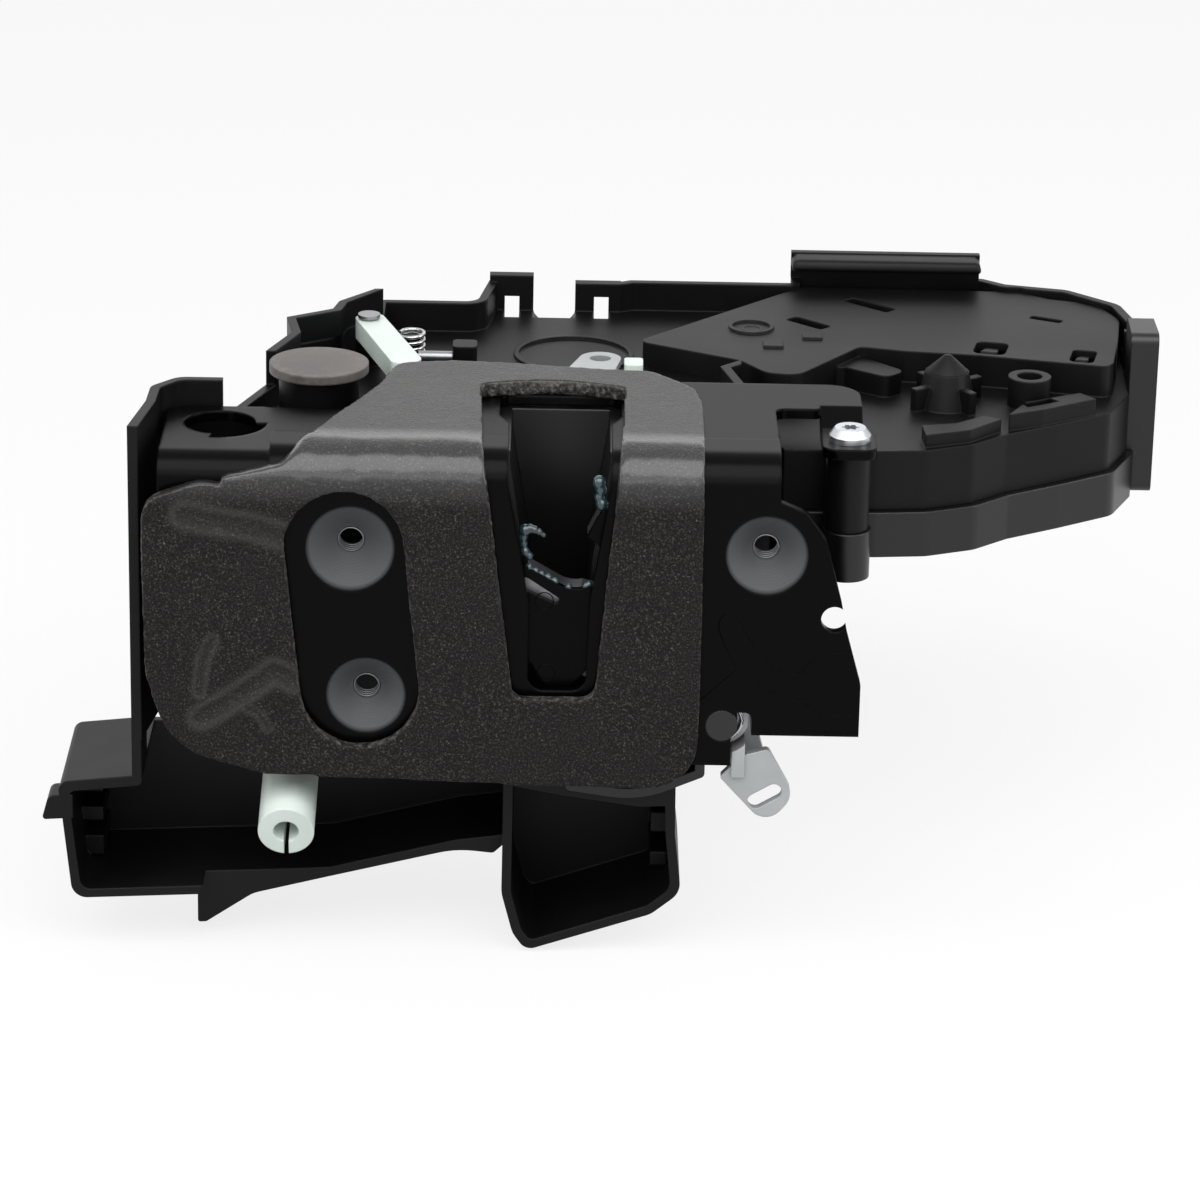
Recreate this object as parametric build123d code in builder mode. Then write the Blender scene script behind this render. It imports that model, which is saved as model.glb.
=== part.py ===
from build123d import *
import os
from math import cos, radians, sin, tan

# Vehicle door latch with its lock actuator, lying with the actuator flat. Millimetres.
# Origin: outer face of the steel plate, midway between its two upper fixing threads and on the
# centreline of the striker mouth. +X runs along the plate, +Y into the door behind the plate, and
# +Z to the folded flange, the side from which the striker comes in. At rest the latch is open.

os.makedirs("parts", exist_ok=True)

# ---------------------------------------------------------------- driving sizes: steel plate
sheet = 2.0
flange_top = 17.5
fold_radius = 5.0
plate_left = -74.0
plate_foot = -42.0
plate_right = 56.7
right_foot = -35.8
flange_back = 49.0
flange_right = 57.3
window_left = 40.7
window_right = 49.2
window_back = 33.7
ridge_left = -53.5
ridge_height = 1.0
ridge_back = 12.5
lever_notch = (32.8, 36.6)
lever_notch_top = -31.3
foot_fold = 8.0

# fixings: threaded dimples pressed into the plate
fixing_x = 38.5
low_fixing = (-35.5, -29.0)
thread_radius = 2.5
thread_start = 5.0
dimple_depth = 10.0
dimple_radius = {"upper_left": 8.4, "lower_left": 7.6, "right": 7.8}

# adjuster hole in the flange
adjuster_centre = (-63.7, 19.8)
adjuster_radius = 6.7
adjuster_sector = 8.9

# screw tab: part of the flange set down onto the actuator's boss
screw_centre = (54.5, 24.7)
tab_drop = 3.0
tab_front = 18.6
tab_right = 59.4
joggle = (31.0, 36.0)
screw_hole = 2.3
screw_shank = 2.0

# ---------------------------------------------------------------- driving sizes: striker mouth
mouth_half = 9.6
mouth_rear_half = 11.5
mouth_low_half = 5.4
mouth_knee = -10.0
mouth_foot = -27.5
mouth_step = (22.5, 27.0)
mouth_back = 39.0
mouth_corner = 3.0

# ---------------------------------------------------------------- driving sizes: foam
foam = 3.0
foam_left = -77.0
foam_right = 26.6
foam_foot = -46.0
foam_margin = 1.9

# ---------------------------------------------------------------- driving sizes: lock works
works_front = 2.6
cover_sheet = 1.6
catch_sheet = 4.2
pawl_sheet = 4.0
lever_sheet = 1.9
layer_gap = 0.35
catch_pivot = (18.0, -11.5)
catch_reach = 25.5
catch_track = 19.5
catch_root = 15.5
catch_hub = 10.5
catch_axis_angle = 150.0
slot_half = 5.4
slot_bottom = 17.2
catch_pin_radius = 4.0
pawl_pivot = (31.0, -34.0)
pawl_hub = 5.4
pawl_nose = 2.6
pawl_nose_at = (22.7, 247.0)
pawl_pin_radius = 3.0
running = 0.06
track_gap = 0.4
back_sheet = 2.0
block_back = 40.0
block_half = 27.0
block_top = 15.2
rivet_head = 1.4
spring_well = 7.2
spring_back = 20.0

# ---------------------------------------------------------------- driving sizes: mouldings
wall = 1.8
shield_front = 3.0
shield_back = 33.0
rim_top = 22.0
deck = 10.5
deck_sheet = 2.0
rear_rim = 16.5
plateau = 15.5
cover_deck = 9.0
split = -3.0
tray_foot = -12.0
boss_radius = 4.1
collar_radius = 4.6


def polar(centre, radius, angle):
    """Point at a radius and an angle in degrees about a centre."""
    return (centre[0] + radius * cos(radians(angle)), centre[1] + radius * sin(radians(angle)))


def outline_face(plane, points):
    """Closed profile; each point is (x, y) or (x, y, corner radius)."""
    corners = []
    for index, point in enumerate(points):
        here = Vector(point[0], point[1])
        back = Vector(*points[index - 1][:2]) - here
        ahead = Vector(*points[(index + 1) % len(points)][:2]) - here
        half = radians(back.get_angle(ahead)) / 2
        radius = point[2] if len(point) > 2 else 0
        setback = min(radius / tan(half), 0.49 * back.length, 0.49 * ahead.length)
        bulge = setback / cos(half) - setback * tan(half)
        inward = back.normalized() + ahead.normalized()
        start = here + back.normalized() * setback
        end = here + ahead.normalized() * setback
        corners.append((start, here + inward * (bulge / max(inward.length, 0.001)), end))
    with BuildSketch(plane) as profile:
        with BuildLine():
            for index, (start, middle, end) in enumerate(corners):
                if (end - start).length > 0.001:
                    ThreePointArc(start, middle, end)
                Line(end, corners[(index + 1) % len(corners)][0])
        make_face()
    return profile.sketch


def upright(points, near, far, mode=Mode.ADD):
    """Profile in X and Z, made solid from depth near to depth far."""
    extrude(outline_face(Plane.XZ.offset(-far), points), amount=far - near, mode=mode)


def level(points, low, high, mode=Mode.ADD):
    """Profile in X and Y, made solid from height low to height high."""
    extrude(outline_face(Plane.XY.offset(low), points), amount=high - low, mode=mode)


def upright_disc(centre, radius, near, far, mode=Mode.ADD):
    """Round bar along Y."""
    with BuildSketch(Plane.XZ.offset(-far)) as disc:
        with Locations(centre):
            Circle(radius)
    extrude(disc.sketch, amount=far - near, mode=mode)


def level_disc(centre, radius, low, high, mode=Mode.ADD):
    """Round bar along Z."""
    with BuildSketch(Plane.XY.offset(low)) as disc:
        with Locations(centre):
            Circle(radius)
    extrude(disc.sketch, amount=high - low, mode=mode)


def fold(left, right, inner, outer, mode=Mode.ADD):
    """Quarter bend between the face and the flange, round the plate's fold line."""
    with BuildSketch(Plane.YZ.offset(left)) as bend:
        with Locations((fold_radius, fold_line)):
            Circle(outer)
            Circle(inner, mode=Mode.SUBTRACT)
            Rectangle(outer, outer, align=(Align.MAX, Align.MIN), mode=Mode.INTERSECT)
    extrude(bend.sketch, amount=right - left, mode=mode)


def ridge(mode=Mode.ADD):
    """Stiffening ridge along the fold, pressed a little proud of the flange."""
    radius = fold_radius + ridge_height
    top = flange_top + ridge_height
    with BuildSketch(Plane.YZ.offset(ridge_left)) as bead:
        with Locations((radius, fold_line)):
            Circle(radius)
            Circle(radius - sheet, mode=Mode.SUBTRACT)
            Rectangle(radius, radius, align=(Align.MAX, Align.MIN), mode=Mode.INTERSECT)
        with BuildLine():
            Polyline(
                (radius, top), (ridge_back, top), (ridge_back + ridge_height, flange_top),
                (ridge_back, top - sheet), (radius, top - sheet), close=True,
            )
        make_face()
    extrude(bead.sketch, amount=window_left - ridge_left, mode=mode)


def finish(part, name):
    """Label a piece and write its file."""
    part.label = name
    export_step(part, f"parts/{name}.step")


# ---------------------------------------------------------------- places worked out from the sizes
fold_line = flange_top - fold_radius
flange_under = flange_top - sheet
tab_top = flange_top - tab_drop
core_front = works_front + cover_sheet
core_back = core_front + catch_sheet
pawl_front = core_front + 0.1
pawl_back = pawl_front + pawl_sheet
lever_front = core_back + layer_gap
lever_back = lever_front + lever_sheet
back_front = lever_back + layer_gap
back_rear = back_front + back_sheet
fixings = {
    "upper_left": (-fixing_x, 0.0), "lower_left": low_fixing, "right": (fixing_x, 0.0),
}
mouth_face = [
    (-mouth_half, flange_top + 6), (-mouth_half, fold_line), (-mouth_low_half, mouth_knee, 4),
    (-mouth_low_half, mouth_foot, mouth_corner), (mouth_low_half, mouth_foot, mouth_corner),
    (mouth_low_half + 0.5, mouth_knee, 4), (mouth_half, fold_line), (mouth_half, flange_top + 6),
]
mouth_flange = [
    (-mouth_half, 0), (-mouth_half, mouth_step[0]), (-mouth_rear_half, mouth_step[1]),
    (-mouth_rear_half, mouth_back, 2), (mouth_rear_half, mouth_back, 2),
    (mouth_rear_half, mouth_step[1]), (mouth_half, mouth_step[0]), (mouth_half, 0),
]

# ================================================================ steel plate
with BuildPart() as face_plate:
    upright(
        [
            (plate_left, fold_line), (window_left, fold_line), (window_left, 10.4),
            (45.6, 8.4, 3), (49.2, 3.4, 4), (52.6, -9.0), (53.8, -15.0, 1), (plate_right, -25.3, 3),
            (plate_right, right_foot, 0.6), (lever_notch[1], right_foot, 0.6),
            (lever_notch[1], lever_notch_top, 1.4), (lever_notch[0], lever_notch_top, 1.4),
            (lever_notch[0], plate_foot, 1), (-58.0, plate_foot, 16), (plate_left, -30.0, 16),
        ],
        0, sheet,
    )
    fold(plate_left, window_left, fold_radius - sheet, fold_radius)
    level(
        [
            (plate_left, fold_radius), (window_left, fold_radius), (window_left, window_back, 2),
            (window_right, window_back, 1), (window_right, joggle[1]), (flange_right, joggle[1]),
            (flange_right, flange_back, 8.5), (-32.5, flange_back, 5), (-37.0, 29.3, 2),
            (plate_left, 29.3, 4),
        ],
        flange_under, flange_top,
    )
    ridge()
    # the screw tab steps down from the flange and ends round the screw
    with BuildSketch(Plane.YZ.offset(window_right)) as step:
        with BuildLine():
            Polyline(
                (tab_front, tab_top), (joggle[0], tab_top), (joggle[1], flange_top),
                (joggle[1], flange_under), (joggle[0] + 0.6, tab_top - sheet),
                (tab_front, tab_top - sheet), close=True,
            )
        make_face()
    extrude(step.sketch, amount=tab_right - window_right)
    level(
        [
            (tab_right + 1, tab_front - 1), (tab_right + 1, joggle[1] + 1),
            (flange_right, joggle[1] + 1), (flange_right, joggle[0] + 1, 3),
            (tab_right, joggle[0] - 3, 3), (tab_right, tab_front, 5), (screw_centre[0], tab_front),
            (screw_centre[0], tab_front - 1),
        ],
        tab_top - sheet - 1, flange_top + 0.0, mode=Mode.SUBTRACT,
    )
    level(
        [
            (window_right - 1, tab_front - 1), (screw_centre[0] + 1, tab_front - 1),
            (screw_centre[0] + 1, tab_front), (window_right, tab_front, 4.5),
            (window_right, tab_front + 8), (window_right - 1, tab_front + 8),
        ],
        tab_top - sheet - 1, flange_top, mode=Mode.SUBTRACT,
    )
    level_disc(screw_centre, screw_hole, tab_top - sheet - 1, tab_top + 1, mode=Mode.SUBTRACT)
    # returns folded back along the foot of the plate
    level([(-52, 0), (-52, foot_fold, 2), (lever_notch[0], foot_fold, 2), (lever_notch[0], 0)],
          plate_foot, plate_foot + sheet)
    level([(lever_notch[1], 0), (lever_notch[1], foot_fold, 2), (plate_right, foot_fold, 2),
           (plate_right, 0)], right_foot, right_foot + sheet)
    # round notch in the free edge
    upright_disc((51.4, -12.4), 2.5, -1, sheet + 1, mode=Mode.SUBTRACT)
    # threaded dimples
    for name, (x, z) in fixings.items():
        radius = dimple_radius[name]
        axis = Axis((x, 0, z), (0, 1, 0))
        section = Plane(origin=(x, 0, z), x_dir=(1, 0, 0), z_dir=(0, 0, 1))
        neck = thread_radius + 2.6
        with BuildSketch(section) as boss:
            with BuildLine():
                Polyline((0, sheet / 2), (radius + 1.4, sheet / 2), (radius + 1.4, sheet),
                         (neck, thread_start + 1.8), (neck, dimple_depth), (0, dimple_depth),
                         close=True)
            make_face()
        revolve(boss.sketch, axis=axis)
        with BuildSketch(section) as hollow:
            with BuildLine():
                Polyline((0, -1), (radius, -1), (radius, 0), (thread_radius + 0.8, thread_start - 0.6),
                         (thread_radius, thread_start), (thread_radius, dimple_depth + 1),
                         (0, dimple_depth + 1), close=True)
            make_face()
        revolve(hollow.sketch, axis=axis, mode=Mode.SUBTRACT)
    # striker mouth through the face, the fold and the flange
    upright(mouth_face, -1, fold_radius + ridge_height, mode=Mode.SUBTRACT)
    level(mouth_flange, flange_under - 1, flange_top + ridge_height + 1, mode=Mode.SUBTRACT)
    # adjuster hole, with the sector that lets a bayonet turn
    with BuildSketch(Plane.XY.offset(flange_under - 1)) as adjuster:
        with Locations(adjuster_centre):
            Circle(adjuster_sector)
            Polygon((0, 0), (12, 0), (12, -12), (-2.1, -12), align=None, mode=Mode.INTERSECT)
            Circle(adjuster_radius)
    extrude(adjuster.sketch, amount=sheet + 2, mode=Mode.SUBTRACT)
    # holes for the two pivots
    upright_disc(catch_pivot, catch_pin_radius, -1, sheet + 1, mode=Mode.SUBTRACT)
    upright_disc(pawl_pivot, pawl_pin_radius, -1, sheet + 1, mode=Mode.SUBTRACT)
finish(face_plate.part, "face_plate")

# ================================================================ foam gasket
with BuildPart() as foam_gasket:
    upright(
        [
            (foam_left, 9.5, 6), (-66.0, 13.4, 8), (-60.0, fold_line), (foam_right, fold_line),
            (foam_right, foam_foot + 0.5, 9), (8.0, foam_foot, 30), (-55.0, foam_foot + 1.8, 18),
            (-72.0, -39.0, 16), (foam_left + 0.5, -24.0, 10),
        ],
        -foam, 0,
    )
    fold(-62.0, foam_right, fold_radius, fold_radius + foam)
    level(
        [
            (-46.2, fold_radius), (-42.3, 16.7, 15), (-34.5, 36.0, 10), (-31.7, 49.4, 5),
            (-18.0, 51.6, 20), (11.0, 47.0, 8), (17.5, 46.6, 3), (25.6, 36.0, 6),
            (foam_right + 0.4, 26.0, 8), (foam_right, fold_radius),
        ],
        flange_top, flange_top + foam,
    )
    # the gasket's edge runs up over the fold to the left of the fixings
    upright(
        [(-80, 13.0), (-66.0, 13.4), (-51.0, 16.6, 4), (-46.2, 21.0), (-46.2, 24.0), (-80, 24.0)],
        -foam - 1, fold_radius, mode=Mode.SUBTRACT,
    )
    ridge(mode=Mode.SUBTRACT)
    # window round the two left fixings
    upper, lower = (-39.6, 0.8), (-36.6, -27.4)
    window_radius = 11.0
    with BuildSketch(Plane.XZ.offset(0)) as window:
        for centre in (upper, lower):
            with Locations(centre):
                Circle(window_radius)
        make_hull()
    extrude(window.sketch, amount=foam, mode=Mode.SUBTRACT)
    # mouth
    margin = foam_margin
    upright(
        [
            (-mouth_half - 4.6, flange_top + 6), (-mouth_half - 4.6, 20.0),
            (-mouth_low_half - 3.2, mouth_foot + 3.0), (-mouth_low_half - 2.6, mouth_foot - 0.9, 2.5),
            (mouth_low_half + 1.2, mouth_foot - 0.9, 2.5), (mouth_low_half + 2.0, mouth_foot + 3.0),
            (mouth_half + 1.6, 20.0), (mouth_half + 1.6, flange_top + 6),
        ],
        -foam - 1, fold_radius, mode=Mode.SUBTRACT,
    )
    with BuildSketch(Plane.XY.offset(flange_top - 1)) as mouth_top:
        with BuildLine():
            Polyline((-mouth_half - 5.6, 36.6), (-mouth_half - 4.6, 3.0), (mouth_half + 1.6, 3.0),
                     (mouth_half + 2.6, 36.0))
            ThreePointArc((mouth_half + 2.6, 36.0), (-1.5, 39.2), (-mouth_half - 5.6, 36.6))
        make_face()
    extrude(mouth_top.sketch, amount=foam + 2, mode=Mode.SUBTRACT)
finish(foam_gasket.part, "foam_gasket")

# ================================================================ catch
slot_dir = (cos(radians(catch_axis_angle)), sin(radians(catch_axis_angle)))
slot_up = (slot_dir[1], -slot_dir[0])


def slot_point(along, across):
    """Point along the catch's slot from its pivot, and across it towards the hook."""
    return (
        catch_pivot[0] + along * slot_dir[0] + across * slot_up[0],
        catch_pivot[1] + along * slot_dir[1] + across * slot_up[1],
    )


def catch_body(sector_end, reach, hook_out):
    """Closed profile of the catch: lower arm, round rim, hub and hook, with the striker slot."""
    with BuildSketch(Plane.XZ) as body:
        with BuildLine():
            arm = slot_point((reach**2 - slot_half**2) ** 0.5, -slot_half)
            arm_angle = catch_axis_angle + 12.3
            middle = polar(catch_pivot, reach, (arm_angle + sector_end) / 2)
            end = polar(catch_pivot, reach, sector_end)
            Line(catch_pivot, arm)
            ThreePointArc(arm, middle, end)
            Line(end, catch_pivot)
        make_face()
        with Locations(catch_pivot):
            Circle(catch_hub)
        with BuildLine():
            Polyline(
                slot_point(2, catch_hub - 3), slot_point(slot_bottom - 2, slot_half - 1),
                slot_point(slot_bottom + 0.6, slot_half), (7.0, 5.6), (8.2, 7.6),
                (10.2 + hook_out, 6.6), (19.0 + hook_out, -1.4), slot_point(-4, catch_hub - 3),
                close=True,
            )
        make_face()
        with BuildLine():
            Polyline(
                slot_point(slot_bottom, -slot_half), slot_point(40, -slot_half),
                slot_point(40, slot_half), slot_point(slot_bottom, slot_half), close=True,
            )
        make_face(mode=Mode.SUBTRACT)
        with Locations(slot_point(slot_bottom, 0)):
            Circle(slot_half, mode=Mode.SUBTRACT)
    return body.sketch


# moulded cover over the front of the catch, with its damping slot
with BuildPart() as catch_cover:
    extrude(catch_body(226.0, catch_reach, 0.0), amount=-cover_sheet)
    with Locations(Location((0, 0, 0))):
        upright_disc(catch_pivot, catch_pin_radius + running, -1, cover_sheet + 1, mode=Mode.SUBTRACT)
    damper = [slot_point(16.5, -slot_half - 3.0), slot_point(23.0, -slot_half - 3.0)]
    with BuildSketch(Plane.XZ.offset(-cover_sheet - 1)) as slit:
        for centre, radius in zip(damper, (0.8, 1.2)):
            with Locations(centre):
                Circle(radius)
        make_hull()
    extrude(slit.sketch, amount=cover_sheet + 2, mode=Mode.SUBTRACT)
catch_cover.part.position = (0, works_front, 0)
finish(catch_cover.part, "catch_cover")

# steel core of the catch: its rim is the pawl's track, with the step that the pawl holds
with BuildPart() as catch_core:
    extrude(catch_body(268.0, catch_track, 0.0), amount=-catch_sheet)
    with BuildSketch(Plane.XZ) as arm_tip:
        with BuildLine():
            Polyline(
                slot_point(slot_bottom - 4, -slot_half), slot_point(24.2, -slot_half),
                slot_point(23.4, -slot_half - 4.5), slot_point(slot_bottom - 4, -slot_half - 6.5),
                close=True,
            )
        make_face()
    extrude(arm_tip.sketch, amount=-catch_sheet)
    with BuildSketch(Plane.XZ) as notch:
        with BuildLine():
            Polyline(
                polar(catch_pivot, catch_root, 180.0), polar(catch_pivot, 30, 180.0),
                polar(catch_pivot, 30, 191.4), polar(catch_pivot, catch_root, 191.4), close=True,
            )
        make_face()
    extrude(notch.sketch, amount=-catch_sheet, mode=Mode.SUBTRACT)
    upright_disc(catch_pivot, catch_pin_radius + running, -1, catch_sheet + 1, mode=Mode.SUBTRACT)
catch_core.part.position = (0, core_front, 0)
finish(catch_core.part, "catch_core")

with BuildPart() as catch_pin:
    upright_disc(catch_pivot, catch_pin_radius, 0, spring_back + 0.6)
finish(catch_pin.part, "catch_pin")

# ================================================================ pawl and release lever
with BuildPart() as pawl:
    with BuildSketch(Plane.XZ.offset(-pawl_back)) as arm:
        with Locations(pawl_pivot):
            Circle(pawl_hub)
        with Locations(polar(catch_pivot, *pawl_nose_at)):
            Circle(pawl_nose)
        make_hull()
        with Locations(catch_pivot):
            Circle(catch_track + track_gap, mode=Mode.SUBTRACT)
        with Locations(pawl_pivot):
            Circle(pawl_pin_radius + running, mode=Mode.SUBTRACT)
    extrude(arm.sketch, amount=pawl_sheet)
finish(pawl.part, "pawl")

with BuildPart() as release_lever:
    with BuildSketch(Plane.XZ.offset(-lever_back)) as arm:
        with Locations(pawl_pivot):
            Circle(pawl_hub + 0.4)
        with Locations((37.0, -45.0)):
            Circle(3.0)
        make_hull()
    extrude(arm.sketch, amount=lever_sheet)
    # lug that comes forward through the plate's notch
    upright([(33.1, -33.6, 1), (35.6, -33.6, 1), (35.6, -45.0), (33.1, -45.0)], 1.2, lever_front + 0.5)
    # tab in front of it, with the slot for the inside release
    upright(
        [
            (31.0, -45.2, 0.6), (35.0, -40.8), (40.0, -39.4, 1), (45.2, -48.8, 4),
            (40.0, -55.0, 4),
        ],
        sheet, sheet + lever_sheet,
    )
    slot_plane = Plane(origin=(39.6, 0, -49.0), x_dir=(0.86, 0, 0.51), z_dir=(0, -1, 0))
    with BuildSketch(slot_plane) as rod_slot:
        SlotOverall(7.0, 3.0)
    extrude(rod_slot.sketch, amount=-8.0, mode=Mode.SUBTRACT)
    upright_disc(pawl_pivot, pawl_hub + 0.8, 0, lever_front, mode=Mode.SUBTRACT)
    upright_disc(pawl_pivot, pawl_pin_radius + running, 0, lever_back + 1, mode=Mode.SUBTRACT)
finish(release_lever.part, "release_lever")

with BuildPart() as pawl_pin:
    upright_disc(pawl_pivot, pawl_pin_radius, 0, back_rear)
    upright_disc(pawl_pivot, pawl_pin_radius + 1.6, back_rear, back_rear + rivet_head)
finish(pawl_pin.part, "pawl_pin")

# ================================================================ back plate and latch block
with BuildPart() as back_plate:
    upright(
        [
            (-block_half, block_top - 1, 2), (block_half, block_top - 1, 2), (block_half, -14.0, 4),
            (38.0, -26.0, 3), (38.0, -38.5, 3), (-20.0, -38.5, 4), (-block_half, -31.0, 4),
        ],
        back_front, back_rear,
    )
    upright(mouth_face, back_front - 1, back_rear + 1, mode=Mode.SUBTRACT)
    upright_disc(catch_pivot, catch_pin_radius, back_front - 1, back_rear + 1, mode=Mode.SUBTRACT)
    upright_disc(pawl_pivot, pawl_pin_radius, back_front - 1, back_rear + 1, mode=Mode.SUBTRACT)
finish(back_plate.part, "back_plate")

with BuildPart() as latch_block:
    upright(
        [
            (-block_half, block_top, 2), (block_half, block_top, 2), (block_half, -20.0),
            (28.2, -45.6, 1), (16.0, -50.8, 20), (2.0, -48.8, 10), (-20.0, -44.5, 4),
            (-block_half, -38.0, 4),
        ],
        back_rear, block_back,
    )
    # lip under the plate's foot
    upright(
        [
            (28.2, -43.0), (28.2, -45.6, 1), (16.0, -50.8, 20), (2.0, -48.8, 10), (2.0, -46.9),
            (16.0, -48.8, 18), (26.4, -44.4), (26.4, -43.0),
        ],
        shield_front, back_rear,
    )
    # striker channel, open at the flange
    inset = 0.3
    upright(
        [
            (-mouth_half + inset, flange_top), (-mouth_half + inset, fold_line),
            (-mouth_low_half - inset, mouth_knee, 4), (-mouth_low_half - inset, mouth_foot - 4),
            (mouth_low_half + inset, mouth_foot - 4), (mouth_low_half + inset, mouth_knee, 4),
            (mouth_half - inset, fold_line), (mouth_half - inset, flange_top),
        ],
        back_rear - 1, block_back - 2, mode=Mode.SUBTRACT,
    )
    # well for the catch spring, and a seat for the rivet head
    upright_disc(catch_pivot, spring_well, back_rear - 1, spring_back + 0.6, mode=Mode.SUBTRACT)
    upright_disc(pawl_pivot, pawl_pin_radius + 1.9, back_rear - 1, back_rear + rivet_head + 0.3,
                 mode=Mode.SUBTRACT)
finish(latch_block.part, "latch_block")

# rubber stop at the foot of the striker channel
with BuildPart() as striker_stop:
    upright(
        [
            (-mouth_low_half, mouth_foot - 0.2, 1.5), (mouth_low_half, mouth_foot - 0.2, 1.5),
            (mouth_low_half, mouth_foot - 4.0), (-mouth_low_half, mouth_foot - 4.0),
        ],
        back_rear + 0.4, block_back - 2.4,
    )
finish(striker_stop.part, "striker_stop")

# ================================================================ springs of the lock works
def coil(foot, direction, radius, wire, height, turns):
    """Round wire wound in a plain coil that rises from its foot along a direction."""
    with BuildLine():
        winding = Helix(pitch=height / turns, height=height, radius=radius, center=foot,
                        direction=direction)
    with BuildSketch(Plane(origin=winding @ 0, z_dir=winding % 0)) as section:
        RegularPolygon(wire * 1.06, 6)
    sweep(section.sketch, path=winding)


with BuildPart() as catch_spring:
    foot = (catch_pivot[0], back_rear + 0.9, catch_pivot[1])
    coil(foot, (0, 1, 0), 5.4, 0.6, spring_back - back_rear - 1.3, 3)
finish(catch_spring.part, "catch_spring")

with BuildPart() as pawl_spring:
    foot = (pawl_pivot[0], sheet + 0.55, pawl_pivot[1])
    coil(foot, (0, 1, 0), 4.0, 0.38, pawl_front - sheet - 1.1, 1.25)
finish(pawl_spring.part, "pawl_spring")

# ================================================================ side shield
block_outline = [
    (-block_half, block_top + 20), (block_half, block_top + 20), (block_half, -20.0),
    (28.2, -45.6, 1), (16.0, -50.8, 20), (2.0, -48.8, 10), (-20.0, -44.5, 4), (-block_half, -38.0, 4),
]
with BuildPart() as side_shield:
    # box behind the left part of the plate
    level(
        [
            (-79.6, shield_front), (-77.4, 18.0), (-77.2, 27.0, 4), (-72.5, shield_back, 4),
            (-block_half + 4, shield_back), (-block_half + 4, shield_front),
        ],
        -47.6, rim_top,
    )
    # lower pockets: one to the left, a shallow one with a fin, one under the striker mouth
    upright(
        [
            (-79.6, -47.4), (-93.7, -48.9, 2), (-92.9, -56.1), (-91.2, -72.7, 3), (-67.0, -71.5),
            (-60.0, -47.4),
        ],
        shield_front, shield_back,
    )
    upright(
        [
            (-68.0, -50.0), (-68.0, -80.4, 0.5), (-66.4, -80.3, 0.6), (-57.4, -74.2, 6),
            (-42.7, -70.4), (-18.6, -64.3, 20), (-11.5, -65.0, 1), (-9.0, -62.6), (-9.0, -40.0),
        ],
        shield_front + 7, shield_back,
    )
    upright(
        [
            (-9.6, -40.0), (-9.8, -71.1, 8), (-7.6, -79.4, 6), (-5.0, -83.0, 2.5),
            (18.8, -75.0, 5), (24.4, -70.4, 4), (23.0, -58.3), (22.8, -40.0),
        ],
        shield_front + 2, shield_back,
    )
    # hollow them from the front
    level(
        [
            (-77.8, shield_front - 1), (-75.6, 18.0), (-75.4, 26.4, 3),
            (-71.8, shield_back - wall, 3), (-20.0, shield_back - wall), (-20.0, shield_front - 1),
        ],
        -47.6, rim_top + 1, mode=Mode.SUBTRACT,
    )
    upright(
        [
            (-77.8, -40.0), (-77.8, -49.3, 1), (-91.8, -50.8, 1.5), (-89.6, -70.9, 2),
            (-66.2, -69.7), (-57.2, -69.3, 4), (-42.7, -68.5), (-18.6, -62.4, 20), (-9.8, -61.2),
            (-9.8, -40.0),
        ],
        shield_front - 1, shield_back - wall, mode=Mode.SUBTRACT,
    )
    upright(
        [
            (-7.8, -40.0), (-8.0, -70.9, 8), (-5.9, -78.8, 4), (-4.2, -80.9, 1.5),
            (18.0, -73.3, 3), (22.4, -69.6, 3), (21.2, -58.3), (21.0, -52.6), (16.0, -52.8),
            (2.0, -50.8), (-7.8, -49.0),
        ],
        shield_front - 1, shield_back - wall, mode=Mode.SUBTRACT,
    )
    # room for the latch block and for the flange above the back wall
    upright(block_outline, -1, block_back, mode=Mode.SUBTRACT)
    upright_disc(fixings["lower_left"], 6.0, -1, dimple_depth + 1, mode=Mode.SUBTRACT)
    level([(-64.0, 26.0), (0, 26.0), (0, 40.0), (-64.0, 40.0)], flange_under - 0.3, rim_top + 1,
          mode=Mode.SUBTRACT)
    # flag tab on the outer pocket
    upright([(-96.8, -56.6, 0.6), (-95.4, -51.7, 1.5), (-90.9, -51.5), (-90.9, -56.2)],
            shield_front, shield_front + 6)
    # clip steps inside the pockets
    for low, high in ((-57.0, -53.0), (-63.0, -60.2), (-70.2, -66.2)):
        upright([(-91.6, low), (-91.6, high), (-86.6, high), (-86.6, low)], 18, shield_back - wall)
    for low, high in ((-62.6, -58.6), (-69.6, -66.8)):
        upright([(18.6, low), (18.6, high), (21.8, high), (21.8, low)], 16, shield_back - wall)
    # cheeks that carry the rod lever
    for x in (-58.5, -44.5):
        with BuildSketch(Plane.YZ.offset(x)) as cheek:
            with BuildLine():
                Polyline((shield_back - wall, -46.0), (18.5, -42.5), (18.5, -33.5),
                         (shield_back - wall, -28.0), close=True)
            make_face()
        extrude(cheek.sketch, amount=2.0)
    with BuildSketch(Plane.YZ.offset(-60)) as pin_hole:
        with Locations((22.0, -38.0)):
            Circle(1.5)
    extrude(pin_hole.sketch, amount=20, mode=Mode.SUBTRACT)
finish(side_shield.part, "side_shield")

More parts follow.
